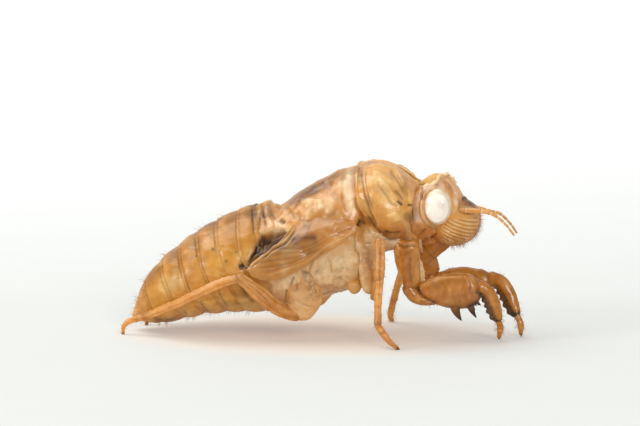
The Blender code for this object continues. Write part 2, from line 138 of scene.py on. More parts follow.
FORE_LEGS = {
    "right": {
        "coxa": [
            (7.90, 2.60, 10.40, 0.90, 0.80),
            (7.95, 2.80, 9.40, 1.00, 0.85),
            (7.99, 3.05, 8.40, 1.12, 0.95),
            (8.13, 3.15, 7.15, 1.06, 0.95),
            (8.38, 3.20, 5.90, 0.82, 0.80),
            (8.50, 3.20, 5.10, 0.62, 0.65),
        ],
        "trochanter": [
            (8.15, 3.20, 4.85, 0.50, 0.60),
            (8.75, 3.20, 4.15, 0.62, 0.70),
            (9.60, 3.20, 3.80, 0.50, 0.68),
            (10.45, 3.20, 3.72, 0.30, 0.55),
        ],
        "femur": [
            (9.35, 3.15, 4.60, 0.50, 0.60),
            (10.50, 3.15, 4.66, 1.14, 0.90),
            (11.90, 3.10, 4.62, 1.52, 0.98),
            (13.10, 3.05, 4.62, 1.48, 0.92),
            (14.10, 2.95, 4.82, 0.98, 0.76),
        ],
        "tibia": [
            (14.45, 2.90, 5.00, 0.55, 0.55),
            (15.14, 2.80, 4.53, 0.64, 0.55),
            (15.60, 2.65, 3.65, 0.67, 0.52),
            (15.85, 2.40, 2.75, 0.58, 0.46),
            (16.05, 2.20, 2.10, 0.32, 0.30),
        ],
        "tarsus": [
            (16.15, 2.15, 1.85, 0.24, 0.24),
            (16.32, 2.05, 1.20, 0.29, 0.24),
            (16.20, 2.00, 0.55, 0.17, 0.15),
        ],
    },
    "left": {
        "coxa": [
            (8.30, 2.80, 9.20, 0.90, 0.80),
            (8.70, 3.00, 7.90, 0.98, 0.80),
            (9.10, 3.00, 6.60, 0.98, 0.75),
            (9.45, 2.95, 5.40, 0.82, 0.62),
        ],
        "trochanter": [
            (9.45, 2.90, 5.05, 0.50, 0.55),
            (10.00, 2.80, 4.30, 0.60, 0.62),
            (11.10, 2.65, 3.95, 0.38, 0.52),
        ],
        "femur": [
            (10.20, 2.75, 4.60, 0.55, 0.60),
            (11.40, 2.55, 4.58, 1.20, 0.85),
            (12.60, 2.35, 4.56, 1.46, 0.92),
            (13.90, 2.05, 4.62, 1.22, 0.86),
            (14.75, 1.80, 4.90, 0.80, 0.68),
        ],
        "tibia": [
            (15.10, 1.70, 5.20, 0.52, 0.52),
            (16.00, 1.45, 4.78, 0.66, 0.55),
            (16.65, 1.20, 3.85, 0.72, 0.52),
            (17.10, 0.90, 2.85, 0.62, 0.46),
            (17.45, 0.60, 2.15, 0.34, 0.30),
        ],
        "tarsus": [
            (17.60, 0.55, 1.95, 0.25, 0.24),
            (17.92, 0.42, 1.20, 0.30, 0.24),
            (17.95, 0.35, 0.50, 0.17, 0.15),
        ],
    },
}
MID_LEGS = {
    "right": {
        "coxa": [
            (4.10, 3.80, 7.60, 0.48, 0.50),
            (4.45, 4.00, 6.50, 0.62, 0.58),
            (4.72, 4.10, 5.40, 0.66, 0.60),
            (4.92, 4.10, 4.75, 0.46, 0.46),
        ],
        "femur": [
            (5.30, 4.35, 4.15, 0.36, 0.38),
            (5.68, 5.00, 5.70, 0.42, 0.38),
            (5.86, 5.50, 7.40, 0.44, 0.38),
            (5.94, 5.85, 8.90, 0.42, 0.36),
        ],
        "tibia": [
            (6.02, 6.60, 9.30, 0.46, 0.36),
            (6.06, 6.80, 7.60, 0.48, 0.38),
            (6.04, 6.92, 6.20, 0.42, 0.36),
            (5.98, 7.05, 4.80, 0.34, 0.33),
            (5.95, 7.30, 2.30, 0.33, 0.32),
        ],
        "tarsus": [
            (6.00, 7.40, 2.00, 0.30, 0.28),
            (6.45, 7.55, 1.35, 0.30, 0.26),
            (7.00, 7.70, 0.72, 0.27, 0.24),
            (7.62, 7.85, 0.25, 0.17, 0.16),
        ],
    },
    "left": {
        "coxa": [
            (3.80, 3.30, 6.10, 0.80, 0.80),
            (4.10, 4.10, 6.60, 0.80, 0.75),
            (4.50, 4.70, 7.10, 0.60, 0.55),
        ],
        "femur": [
            (4.55, 4.80, 7.15, 0.45, 0.45),
            (5.40, 5.30, 7.70, 0.50, 0.45),
            (6.50, 5.80, 8.20, 0.48, 0.42),
            (7.50, 6.10, 8.55, 0.42, 0.38),
        ],
        "tibia": [
            (7.65, 6.15, 8.45, 0.40, 0.38),
            (7.00, 6.45, 6.40, 0.38, 0.36),
            (6.25, 6.85, 4.10, 0.34, 0.33),
            (5.72, 7.20, 2.30, 0.33, 0.32),
        ],
        "tarsus": [
            (5.60, 7.30, 1.95, 0.32, 0.30),
            (5.42, 7.45, 1.20, 0.32, 0.28),
            (5.32, 7.60, 0.55, 0.26, 0.22),
            (5.40, 7.90, 0.20, 0.14, 0.14),
        ],
    },
}
HIND_COXA = [
    (-1.35, 4.30, 6.00, 0.80, 0.42),
    (-1.15, 4.25, 5.00, 1.30, 0.52),
    (-1.05, 4.20, 3.95, 1.58, 0.62),
    (-1.40, 4.22, 3.05, 1.25, 0.58),
    (-1.75, 4.25, 2.55, 0.75, 0.45),
]
HIND_FEMUR = [
    (-1.75, 4.30, 2.30, 0.46, 0.50),
    (-2.90, 4.75, 2.75, 0.60, 0.52),
    (-4.05, 5.35, 3.65, 0.66, 0.50),
    (-5.20, 5.90, 4.75, 0.60, 0.46),
    (-6.45, 6.35, 5.85, 0.40, 0.38),
]
HIND_LEGS = {
    "right": {
        "coxa": HIND_COXA,
        "femur": HIND_FEMUR,
        "tibia": [
            (-6.85, 6.40, 5.75, 0.36, 0.34),
            (-8.30, 6.50, 5.30, 0.40, 0.36),
            (-10.20, 6.25, 4.40, 0.38, 0.34),
            (-12.30, 5.35, 3.30, 0.36, 0.32),
            (-14.20, 4.20, 2.40, 0.34, 0.30),
            (-15.60, 3.30, 1.75, 0.28, 0.26),
        ],
        "tarsus": [
            (-15.50, 3.25, 1.75, 0.28, 0.26),
            (-16.40, 2.95, 1.50, 0.30, 0.26),
            (-17.20, 2.85, 1.20, 0.27, 0.24),
            (-17.70, 2.80, 0.75, 0.19, 0.18),
            (-17.78, 2.75, 0.12, 0.12, 0.12),
        ],
    },
    "left": {
        "coxa": HIND_COXA,
        "femur": HIND_FEMUR,
        "tibia": [
            (-6.85, 6.40, 5.75, 0.36, 0.34),
            (-8.30, 6.50, 5.25, 0.40, 0.36),
            (-10.10, 6.25, 4.30, 0.38, 0.34),
            (-12.10, 5.40, 3.15, 0.36, 0.32),
            (-13.80, 4.40, 2.20, 0.34, 0.30),
            (-15.10, 3.55, 1.50, 0.28, 0.26),
        ],
        "tarsus": [
            (-15.20, 3.50, 1.45, 0.20, 0.20),
            (-16.00, 3.10, 1.00, 0.20, 0.20),
            (-16.60, 2.80, 0.60, 0.18, 0.18),
            (-16.70, 2.70, 0.08, 0.13, 0.13),
        ],
    },
}
LEG_SETS = {"fore": FORE_LEGS, "mid": MID_LEGS, "hind": HIND_LEGS}

# Wing pads: upper edge x, out, z, lower edge x, out, z, half thickness. The fore wing pad's
# first row, hidden in the flank, is not in the CAD.
FOREWING_PAD = [
    (4.15, 4.15, 10.95, 4.25, 4.50, 10.20, 0.20),
    (3.50, 4.25, 11.30, 3.60, 4.95, 9.95, 0.28),
    (2.20, 4.30, 12.00, 2.50, 5.45, 9.15, 0.36),
    (0.30, 4.45, 11.90, 0.90, 5.90, 8.05, 0.40),
    (-1.50, 4.85, 10.90, -0.90, 6.20, 6.80, 0.38),
    (-2.90, 5.65, 9.30, -2.80, 6.40, 5.90, 0.34),
    (-4.30, 6.10, 8.00, -4.40, 6.45, 5.65, 0.30),
    (-5.85, 6.20, 6.90, -6.00, 6.25, 6.35, 0.20),
]
HINDWING_PAD = [
    (-1.50, 4.70, 10.00, -1.30, 5.20, 8.60, 0.20),
    (-2.90, 5.00, 9.50, -2.90, 5.55, 7.20, 0.26),
    (-4.50, 5.35, 8.30, -4.50, 5.70, 6.40, 0.26),
    (-6.20, 5.45, 7.00, -6.20, 5.60, 6.50, 0.20),
]

# The skin between the collar and the fore legs, in the same form as the body rows. Its last
# row, hidden in the head, is not in the CAD.
THROAT = [
    (2.60, 12.00, 3.40, 5.00, 4.20),
    (3.50, 11.80, 4.50, 5.20, 4.25),
    (4.40, 11.60, 5.50, 7.40, 4.10),
    (5.80, 11.40, 6.60, 8.00, 3.90),
    (7.60, 11.40, 8.10, 8.00, 3.50),
    (9.20, 11.40, 9.40, 7.60, 2.80),
]

# Points along each sheet, and across or around it. Together they keep the model under a
# million triangles.
GRIDS = {
    "abdomen": (180, 210),
    "thorax": (150, 260),
    "throat": (90, 160),
    "membrane": (60, 40),
    "knob": (40, 44),
    "pronotum": (105, 225),
    "head": (115, 205),
    "lip_roll": (110, 14),
    "face": (140, 140),
    "eye": (70, 76),
    "beak": (70, 36),
    "antenna": (150, 18),
    "forewing_pad": (160, 150),
    "hindwing_pad": (80, 60),
    "spine": (26, 14),
    "claw": (12, 8),
}
LEG_GRID = (23, 36)       # points along for each station of a leg segment, and around it

# Folds of the skins: size and height in mm, seed, and how strongly they show in the colours, as
# painted highlight on the fold lines and painted shade in the hollows.
FOLDS = {
    "abdomen": [(3.0, 0.035, 11, 0.35), (0.9, 0.020, 17, 0.25)],
    "thorax": [(3.4, 0.11, 37, 0.45), (1.2, 0.035, 41, 0.25)],
    "flanks": [(1.4, 0.08, 43, 0.25), (0.55, 0.035, 49, 0.35)],
    "waist": [(1.3, 0.07, 47, 0.6)],
    "throat": [(1.6, 0.08, 45, 0.4)],
    "membrane": [(0.5, 0.06, 215, 0.4)],
    "knob": [(0.7, 0.04, 211, 0.0)],
    "pronotum": [(2.8, 0.07, 59, 0.35), (0.9, 0.02, 61, 0.2)],
    "head": [(1.8, 0.07, 71, 0.4), (0.7, 0.03, 73, 0.2)],
    "lip_roll": [(0.8, 0.09, 75, 0.0)],
    "face": [(1.2, 0.03, 79, 0.0)],
    "eye": [(1.3, 0.03, 83, 0.0)],
    "beak": [(0.8, 0.03, 89, 0.0)],
    "forewing_pad": [(2.8, 0.07, 97, 0.3), (0.9, 0.02, 101, 0.2)],
    "hindwing_pad": [(1.6, 0.10, 103, 0.0)],
}


# ---------------------------------------------------------------------------------------------
# Numbers: smooth curves, soft steps and gentle unevenness
# ---------------------------------------------------------------------------------------------

def smooth_rows(rows, places):
    """The rows' values at the given places along a smooth (Catmull-Rom) curve through them."""
    rows = np.array(rows, dtype=float)
    padded = np.vstack([2 * rows[0] - rows[1], rows, 2 * rows[-1] - rows[-2]])
    places = np.asarray(places, dtype=float)
    start = np.clip(np.floor(places).astype(int), 0, len(rows) - 2)
    t = (places - start)[:, None]
    before, first, second, after = (padded[start + shift] for shift in range(4))
    return 0.5 * (
        2 * first + (second - before) * t
        + (2 * before - 5 * first + 4 * second - after) * t ** 2
        + (3 * first - before - 3 * second + after) * t ** 3
    )


def tucked(rows, before=0.0, after=0.0, shrink=0.90):
    """The body rows with hidden ends added, that run on into the neighbouring skins, a little
    narrower: before and after are shares of the first and last stretch."""
    rows = [np.array(row, dtype=float) for row in rows]
    first = rows[0] + (rows[0] - rows[1]) * before
    last = rows[-1] + (rows[-1] - rows[-2]) * after
    first[HALF_WIDTH] *= shrink
    last[HALF_WIDTH] *= shrink
    return ([first] if before else []) + rows + ([last] if after else [])


def soft_step(value, low, high):
    """0 below low, 1 above high, with a smooth rise between them."""
    t = np.clip((np.asarray(value, dtype=float) - low) / (high - low), 0.0, 1.0)
    return t * t * (3 - 2 * t)


def bell(value, width):
    """1 at zero, falling to nothing over about twice the width."""
    return np.exp(-(np.asarray(value, dtype=float) / width) ** 2)


def unit(vectors):
    """The vectors at length 1."""
    return vectors / np.maximum(np.linalg.norm(vectors, axis=-1, keepdims=True), 1e-9)


def waves(points, size, seed):
    """Gentle unevenness about size mm across, from about -1 to 1, the same in each run."""
    wave_count = 9
    rng = np.random.default_rng(seed)
    total = np.zeros(points.shape[:-1])
    for _ in range(wave_count):
        direction = unit(rng.normal(size=3))
        pitch = size * rng.uniform(0.7, 1.5)
        total += np.sin(points @ direction * 2 * math.pi / pitch + rng.uniform(0, 2 * math.pi))
    return total / math.sqrt(wave_count)


def creases(points, size, seed):
    """Sharp-edged folds, as dry paper has them: 0 in the hollows, 1 on the fold lines."""
    return 1 - np.clip(np.abs(waves(points, size, seed)) * 1.6, 0, 1)


# ---------------------------------------------------------------------------------------------
# The view that the marks are given in
# ---------------------------------------------------------------------------------------------

class MarksView:
    """The photograph's view of the near side. A point of the far side counts as its mirror
    image, so that both flanks carry the same folds."""

    right = np.array((math.cos(VIEW_AZIMUTH), math.sin(VIEW_AZIMUTH), 0.0))
    back = np.array((
        math.sin(VIEW_AZIMUTH) * math.cos(VIEW_ELEVATION),
        -math.cos(VIEW_AZIMUTH) * math.cos(VIEW_ELEVATION),
        math.sin(VIEW_ELEVATION),
    ))
    up = np.cross(right, -back)
    eye = VIEW_TARGET + back * VIEW_DISTANCE

    @classmethod
    def near(cls, vectors, points):
        """The vectors, mirrored where their points lie on the far side."""
        flip = np.where(points[..., 1:2] > 0, -1.0, 1.0)
        return vectors * np.concatenate([np.ones_like(flip), flip, np.ones_like(flip)], axis=-1)

    @classmethod
    def pixels(cls, points):
        """Where the view shows the points, in pixels."""
        offset = cls.near(points, points) - VIEW_TARGET
        scale = VIEW_DISTANCE / (VIEW_DISTANCE - offset @ cls.back) / MM_PER_PIXEL
        across = PICTURE_CENTRE[0] + offset @ cls.right * scale
        down = PICTURE_CENTRE[1] - offset @ cls.up * scale
        return np.stack([across, down], axis=-1)

    @classmethod
    def facing(cls, points, normals):
        """1 where the skin faces the view, 0 where it is turned away."""
        turned_away, turned_to = -0.10, 0.15
        return soft_step(cls.near(normals, points) @ cls.back, turned_away, turned_to)


def mark(width, *path, height=0.0, step=0.0, reach=8.0, **tints):
    """A fold, edge, stain, painted shade or painted highlight along a path of pixels. Width is in
    pixels. Height raises a ridge (or sinks a groove) in mm; step raises the skin on the right-hand
    side of the path, fading over reach pixels. Each tint is how much of that colour the mark adds;
    the tint for holes and gaps is painted shade."""
    return {"path": path, "width": width, "height": height, "step": step, "reach": reach,
            "tints": tints}


def stain_and_shade(width, dark, *path):
    """A dark line or patch that leaves the skin smooth: the skin's own stains, and painted shade
    where the skin lies in shadow.
    """
    return mark(width, *path, dark=dark)


def pale_and_highlight(width, pale, *path):
    """A pale line or patch that leaves the skin smooth: the skin's own pale parts, and painted
    highlights.
    """
    return mark(width, *path, pale=pale)


def groove(width, depth, dark, *path):
    """A dark groove, its depth in mm."""
    return mark(width, *path, height=-depth, dark=dark)


def ridge(width, height, pale, *path):
    """A pale raised fold, its height in mm; its paleness is partly the fold's own colour, partly a
    painted highlight.
    """
    return mark(width, *path, height=height, pale=pale)


MARK_SPREAD = 2.6         # a mark is gone this many widths from its path
PATH_STEPS = 5            # points of a smooth path for each point that is given
DOT_LENGTH = 0.01         # length in pixels of the path of a mark that is only a dot


def smooth_path(path):
    """A mark's path as a smooth line."""
    rows = np.array(path, dtype=float)
    if len(rows) == 1:
        return np.vstack([rows, rows + (DOT_LENGTH, 0.0)])
    return smooth_rows(rows, np.linspace(0, len(rows) - 1, PATH_STEPS * len(rows)))


def nearest_on_path(pixels, path):
    """Distance of each pixel from the path, its side (1 right, -1 left) and the share of the
    path's length at the nearest point."""
    best = np.full(len(pixels), np.inf)
    side = np.ones(len(pixels))
    share = np.zeros(len(pixels))
    runs = np.diff(path, axis=0)
    lengths = np.linalg.norm(runs, axis=1)
    passed = 0.0
    for start, run, length in zip(path, runs, lengths):
        offset = pixels - start
        along = np.clip(offset @ run / length ** 2, 0, 1)
        distance = np.linalg.norm(offset - along[:, None] * run, axis=1)
        closer = distance < best
        best[closer] = distance[closer]
        turn = run[0] * offset[:, 1] - run[1] * offset[:, 0]
        side[closer] = np.where(turn[closer] > 0, 1.0, -1.0)
        share[closer] = (passed + along * length)[closer] / lengths.sum()
        passed += length
    return best, side, share


BUMP_SHARE = 0.5          # height of the soft bumps in a crumpled skin against its sharp folds
FOLD_PITCH = 1.3          # pitch of the sharp folds against that of the bumps
FOLD_LEVEL = 0.4          # the height between hollow and fold line that stays where it was
MARK_UNEVEN = 0.175       # how much the width of a mark varies along it
MARK_UNEVEN_SIZE = 1.1
MARK_UNEVEN_SEED = 5


class Sheet:
    """A grid of points in mm: rows along the piece, columns across or around it. The outside
    is where along x around points."""

    def __init__(self, points, closed=False, capped=False):
        self.points = points
        self.closed = closed
        self.capped = capped
        self.tints = {name: np.zeros(points.shape[:2]) for name in TINTS}

    def normals(self):
        """The outward direction at each point."""
        along = np.gradient(self.points, axis=0)
        if self.closed:
            around = np.roll(self.points, -1, axis=1) - np.roll(self.points, 1, axis=1)
        else:
            around = np.gradient(self.points, axis=1)
        return unit(np.cross(along, around))

    def push(self, heights):
        """Move the skin outward by the heights, in mm."""
        self.points = self.points + self.normals() * heights[..., None]

    def tint(self, name, amount):
        """Add a tint, up to full strength."""
        self.tints[name] = np.clip(self.tints[name] + amount, 0.0, 1.0)

    def crumple(self, folds, where=1.0):
        """Uneven the skin with soft bumps and paper-like folds, in rows as FOLDS has them. Their
        shade is how strongly the fold lines get a painted highlight and the hollows painted shade."""
        for size, height, seed, shade in folds:
            bumps = waves(self.points, size, seed) * BUMP_SHARE
            relief = bumps + (creases(self.points, size * FOLD_PITCH, seed + 1) - FOLD_LEVEL)
            self.push(where * height * relief)
            # painted highlight on the fold lines, painted shade in the hollows
            self.tint("pale", shade * where * soft_step(relief, 0.2, 1.0))
            self.tint("dark", 0.6 * shade * where * soft_step(-relief, 0.3, 1.1))

    def apply(self, marks):
        """Press the marks into the skin and colour it with them."""
        shape = self.points.shape[:2]
        normals = self.normals()
        pixels = MarksView.pixels(self.points).reshape(-1, 2)
        facing = MarksView.facing(self.points, normals).reshape(-1)
        uneven = 1 + MARK_UNEVEN * waves(self.points, MARK_UNEVEN_SIZE,
                                         MARK_UNEVEN_SEED).reshape(-1)
        heights = np.zeros(len(pixels))
        for item in marks:
            path = smooth_path(item["path"])
            spread = MARK_SPREAD * max(item["width"], item["reach"] if item["step"] else 0.0)
            inside = (pixels > path.min(0) - spread) & (pixels < path.max(0) + spread)
            picked = np.flatnonzero(np.all(inside, axis=1) & (facing > 0))
            if len(picked) == 0:
                continue
            distance, hand, share = nearest_on_path(pixels[picked], path)
            ends = 1 - np.abs(2 * share - 1) ** 6 if len(item["path"]) > 1 else 1.0
            core = bell(distance, item["width"] * uneven[picked]) * facing[picked] * ends
            heights[picked] += item["height"] * core
            if item["step"]:
                lip = 0.5 + 0.5 * np.tanh(hand * distance / item["width"])
                fade = bell(distance, item["reach"]) * facing[picked] * ends
                heights[picked] += item["step"] * lip * fade
            for name, amount in item["tints"].items():
                added = np.zeros(len(pixels))
                added[picked] = amount * core
                self.tint(name, added.reshape(shape))
        self.points = self.points + normals * heights.reshape(shape)[..., None]


# ---------------------------------------------------------------------------------------------
# Sheets for the kinds of skin
# ---------------------------------------------------------------------------------------------

def body_sheet(rows, count, columns, opening=None, squeeze=None, fullness=2.0):
    """A body part's skin. Opening gives how far the split's left and right lips lie from the
    midline, as angles, for each place along the rows; without it the skin closes round the
    back. Squeeze gives how much narrower the lower half is, fullness how square: 2 is an
    ellipse. Also returns the place and the angle from the back of each point."""
    places = np.linspace(0, len(rows) - 1, count)
    stations = smooth_rows(rows, places)
    zero = np.zeros(count)
    back = np.stack([stations[:, 0], zero, stations[:, 1]], axis=1)
    belly = np.stack([stations[:, 2], zero, stations[:, 3]], axis=1)
    middle = (back + belly) / 2
    rise = (back - belly) / 2
    if opening is None:
        share = np.linspace(0, 1, columns, endpoint=False)[None, :]
        left, right = np.zeros((count, 1)), np.zeros((count, 1))
    else:
        share = np.linspace(0, 1, columns)[None, :]
        left, right = (gap[:, None] for gap in opening(places))
    angle = left + share * (2 * math.pi - left - right)
    across = np.zeros((count, columns, 3))
    half_width = stations[:, HALF_WIDTH][:, None] * np.ones_like(angle)
    if squeeze is not None:
        half_width *= 1 - squeeze(places)[:, None] * soft_step(-np.cos(angle), -0.15, 0.75)
    round_lower = (1 - np.abs(np.cos(angle)) ** fullness) ** (1 / fullness)
    lower = np.sign(np.sin(angle)) * round_lower
    across[..., 1] = np.where(np.cos(angle) < 0, lower, np.sin(angle)) * half_width
    points = middle[:, None] + rise[:, None] * np.cos(angle)[..., None] + across
    sheet = Sheet(points, closed=opening is None)
    place = np.repeat(places[:, None], columns, axis=1)
    return sheet, place, angle


def travel(path):
    """How far along the path each of its points lies."""
    return np.concatenate([[0], np.cumsum(np.linalg.norm(np.diff(path, axis=0), axis=1))])


LIMB_STRETCH = 0.22       # a segment reaches this far into its neighbours, mm,
LIMB_END_REACH = 0.45     # and this share of its end's half width further
LIMB_END_ROUND = 0.9      # length of the rounded end, in half widths of the end
LIMB_RIM_PLACE = 1.1      # where the rim at a joint is, in half widths from the end
LIMB_RIM_LENGTH = 0.45


def limb_sheet(rows, side, count, columns, ridges=0, ridge_height=0.0, rim=0.05):
    """A limb segment's skin: a tube with rounded ends that reach past the rows into its
    neighbours, a slight rim at each joint, and lengthwise ridges. Also returns how far along
    each point is (0 to 1) and its angle from the inner edge, which is the lower one of a limb
    that points to the head and the rear one of a limb that points down."""
    places = np.linspace(0, len(rows) - 1, count)
    stations = smooth_rows(rows, places)
    centre = stations[:, :3] * (1, side, 1)
    ahead = unit(np.gradient(centre, axis=0))
    travelled = travel(centre)
    along = travelled / travelled[-1]
    first, last = stations[0, 3], stations[-1, 3]
    low_reach, high_reach = (LIMB_END_REACH * end + LIMB_STRETCH for end in (first, last))
    beyond = np.where(along < 0.5, (along - 1) * low_reach * (1 - 2 * along),
                      along * high_reach * (2 * along - 1))
    centre = centre + ahead * beyond[:, None]
    travelled = travel(centre)
    share = travelled / travelled[-1]
    sideways = np.array((0.0, 1.0, 0.0))
    across = unit(sideways - ahead * (ahead @ sideways)[:, None])
    upright = np.cross(across, ahead)
    end_gap = np.minimum(travelled / first, (travelled[-1] - travelled) / last)
    end_round = np.sqrt(1 - (1 - np.clip(end_gap / LIMB_END_ROUND, 0.03, 1)) ** 2)
    joint_rim = 1 + rim * bell(end_gap - LIMB_RIM_PLACE, LIMB_RIM_LENGTH)
    scale = (end_round * joint_rim)[:, None]
    angle = np.linspace(0, 2 * math.pi, columns, endpoint=False)[None, :]
    bulge = 1 + ridge_height * np.cos(ridges * angle) * np.ones((count, 1))
    wide = stations[:, 3][:, None] * scale * bulge
    thin = stations[:, 4][:, None] * scale * bulge
    points = (centre[:, None]
              + upright[:, None] * (wide * np.cos(angle))[..., None]
              - across[:, None] * (thin * np.sin(angle))[..., None])
    sheet = Sheet(points, closed=True, capped=True)
    return sheet, np.repeat(share[:, None], columns, axis=1), np.repeat(angle, count, axis=0)


LEAF_TAPER = 0.5          # the stretch at each end where a wing pad narrows, in rows


def leaf_sheet(rows, side, count, columns):
    """A wing pad's skin: a flat leaf from its upper to its lower edge. Also returns the place
    along it and the angle from the upper edge."""
    places = np.linspace(0, len(rows) - 1, count)
    stations = smooth_rows(rows, places)
    upper = stations[:, 0:3] * (1, side, 1)
    lower = stations[:, 3:6] * (1, side, 1)
    half = (upper - lower) / 2
    outward = unit(np.cross(half, (1.0, 0.0, 0.0))) * side
    angle = np.linspace(0, 2 * math.pi, columns, endpoint=False)[None, :] * side
    end_gap = np.minimum(places, places[-1] - places)
    taper = np.sqrt(1 - (1 - np.clip(end_gap / LEAF_TAPER, 0.02, 1)) ** 2)[:, None]
    wide = np.cos(angle) * taper
    thin = np.sin(angle) * stations[:, 6][:, None] * taper
    points = ((upper + lower)[:, None] / 2
              + half[:, None] * wide[..., None] + outward[:, None] * thin[..., None])
    points = points[::-1]
    sheet = Sheet(points, closed=True, capped=True)
    return sheet, np.repeat(places[::-1, None], columns, axis=1), np.repeat(angle, count, axis=0)


def ball_sheet(centre, radii, tilt, count, columns):
    """An egg shape whose poles point to both sides. Also returns its points before the tilt,
    from the centre."""
    latitude = np.linspace(-math.pi / 2, math.pi / 2, count)[:, None]
    longitude = np.linspace(2 * math.pi, 0, columns, endpoint=False)[None, :]
    ring = np.maximum(np.cos(latitude), 0.01)
    local = np.stack([
        radii[0] * ring * np.sin(longitude),
        radii[1] * np.sin(latitude) * np.ones_like(longitude),
        radii[2] * ring * np.cos(longitude),
    ], axis=-1)
    turned = local.copy()
    turned[..., 0] = local[..., 0] * math.cos(tilt) + local[..., 2] * math.sin(tilt)
    turned[..., 2] = -local[..., 0] * math.sin(tilt) + local[..., 2] * math.cos(tilt)
    sheet = Sheet(turned + centre, closed=True, capped=True)
    return sheet, local


# ---------------------------------------------------------------------------------------------
# Meshes
# ---------------------------------------------------------------------------------------------

def sheet_faces(sheet, first):
    """The sheet's faces, counting its points from first, and the points that close its ends."""
    count, columns = sheet.points.shape[:2]
    index = first + np.arange(count * columns).reshape(count, columns)
    after = np.roll(index, -1, axis=1)
    if not sheet.closed:
        index, after = index[:, :-1], after[:, :-1]
    quads = np.stack([index[:-1], index[1:], after[1:], after[:-1]], axis=-1).reshape(-1, 4)
    faces = [quads]
    ends = []
    if sheet.capped:
        hub = first + count * columns
        low = np.stack([np.full(columns, hub), index[0], after[0]], axis=1)
        high = np.stack([np.full(columns, hub + 1), after[-1], index[-1]], axis=1)
        faces += [low, high]
        ends = [sheet.points[0].mean(0), sheet.points[-1].mean(0)]
    return faces, ends


def make_mesh(name, points, faces, tints):
    """A mesh from points in mm, blocks of faces and a value of each tint for each point."""
    mesh = bpy.data.meshes.new(name)
    corners = np.concatenate([block.reshape(-1) for block in faces])
    sizes = np.concatenate([np.full(len(block), block.shape[1]) for block in faces])
    starts = np.concatenate([[0], np.cumsum(sizes)[:-1]])
    mesh.vertices.add(len(points))
    mesh.vertices.foreach_set("co", (points * MM).astype(np.float32).reshape(-1))
    mesh.loops.add(len(corners))
    mesh.loops.foreach_set("vertex_index", corners.astype(np.int32))
    mesh.polygons.add(len(sizes))
    mesh.polygons.foreach_set("loop_start", starts.astype(np.int32))
    mesh.update(calc_edges=True)
    mesh.validate()
    for tint, values in tints.items():
        attribute = mesh.attributes.new(tint, "FLOAT", "POINT")
        attribute.data.foreach_set("value", values.astype(np.float32))
    mesh.shade_smooth()
    return mesh


def add_piece(name, mesh, material):
    """Put a mesh in the scene as a piece that rides on the one body."""
    mesh.materials.append(material)
    piece = bpy.data.objects.new(name, mesh)
    bpy.context.scene.collection.objects.link(piece)
    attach(piece, "root")
    return piece


def make_piece(skins, slot, name, sheets, node=None, thickness=0.0):
    """A piece of the model from its sheets, standing for the named CAD node. A thickness
    makes a thin wall of an open skin."""
    points, faces = [], []
    tints = {tint: [] for tint in TINTS}
    total = 0
    for sheet in sheets:
        blocks, ends = sheet_faces(sheet, total)
        points.append(np.vstack([sheet.points.reshape(-1, 3), *[end[None] for end in ends]]))
        faces += blocks
        for tint in TINTS:
            value = sheet.tints[tint]
            caps = [value[0].mean(), value[-1].mean()] if sheet.capped else []
            tints[tint].append(np.concatenate([value.reshape(-1), caps]))
        total += len(points[-1])
    joined = {tint: np.concatenate(values) for tint, values in tints.items()}
    piece = add_piece(name, make_mesh(name, np.vstack(points), faces, joined), skins[slot])
    if thickness:
        wall = piece.modifiers.new("wall", "SOLIDIFY")
        wall.thickness = thickness * MM
        wall.offset = -1.0
    if node:
        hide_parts(node)


# ---------------------------------------------------------------------------------------------
# Hairs: thin three-sided cones, joined into one mesh for each piece that carries them
# ---------------------------------------------------------------------------------------------

HAIR_RADIUS = 0.014
HAIR_TAPER = 0.85         # how much of its width a hair has lost at its tip
HAIR_SAG = 0.14           # how far a tip hangs, as a share of the hair's length
HAIR_UNRULY = 0.22        # how far hairs lean out of line
HAIR_LENGTHS = (0.55, 1.25)         # shortest and longest, against the length that is asked for
HAIR_STATIONS = 5
HAIR_SIDES = 3
HAIR_LOWEST = 0.03        # hairs that reach the floor lie on it


def sprout(sheet, where, count, length, lean, seed):
    """Hairs that grow from a sheet: roots at random where the weights allow them, length in
    mm, lean as the direction that the tips are drawn to. Returns their points."""
    rng = np.random.default_rng(seed)
    weights = np.clip(where, 0, None).reshape(-1)
    picked = rng.choice(weights.size, count, p=weights / weights.sum())
    roots = sheet.points.reshape(-1, 3)[picked]
    out = sheet.normals().reshape(-1, 3)[picked]
    heading = unit(out + np.array(lean) + rng.normal(scale=HAIR_UNRULY, size=out.shape))
    reach = length * rng.uniform(*HAIR_LENGTHS, (count, 1))
    share = np.linspace(0, 1, HAIR_STATIONS)[None, :, None]
    sag = np.array((0.0, 0.0, -HAIR_SAG)) * reach[:, None] * share ** 2
    centres = roots[:, None] + heading[:, None] * reach[:, None] * share + sag
    centres[..., 2] = np.maximum(centres[..., 2], HAIR_LOWEST)
    across = unit(np.cross(heading, rng.normal(size=out.shape)))
    other = np.cross(heading, across)
    angle = 2 * math.pi * np.arange(HAIR_SIDES) / HAIR_SIDES
    width = HAIR_RADIUS * (1 - HAIR_TAPER * share[..., None])
    ring = (across[:, None, None] * np.cos(angle)[:, None]
            + other[:, None, None] * np.sin(angle)[:, None])
    return centres[:, :, None] + ring * width


def make_hairs(skins, name, tufts):
    """One mesh of all the given hairs, each closed at its root and its tip."""
    hairs = np.concatenate(tufts)
    index = np.arange(hairs[..., 0].size).reshape(hairs.shape[:3])
    after = np.roll(index, -1, axis=2)
    walls = np.stack([index[:, :-1], after[:, :-1], after[:, 1:], index[:, 1:]], axis=-1)
    faces = [walls.reshape(-1, 4), index[:, 0, ::-1], index[:, -1]]
    points = hairs.reshape(-1, 3)
    tints = {tint: np.zeros(len(points)) for tint in TINTS}
    add_piece(name, make_mesh(name, points, faces, tints), skins["hair"])


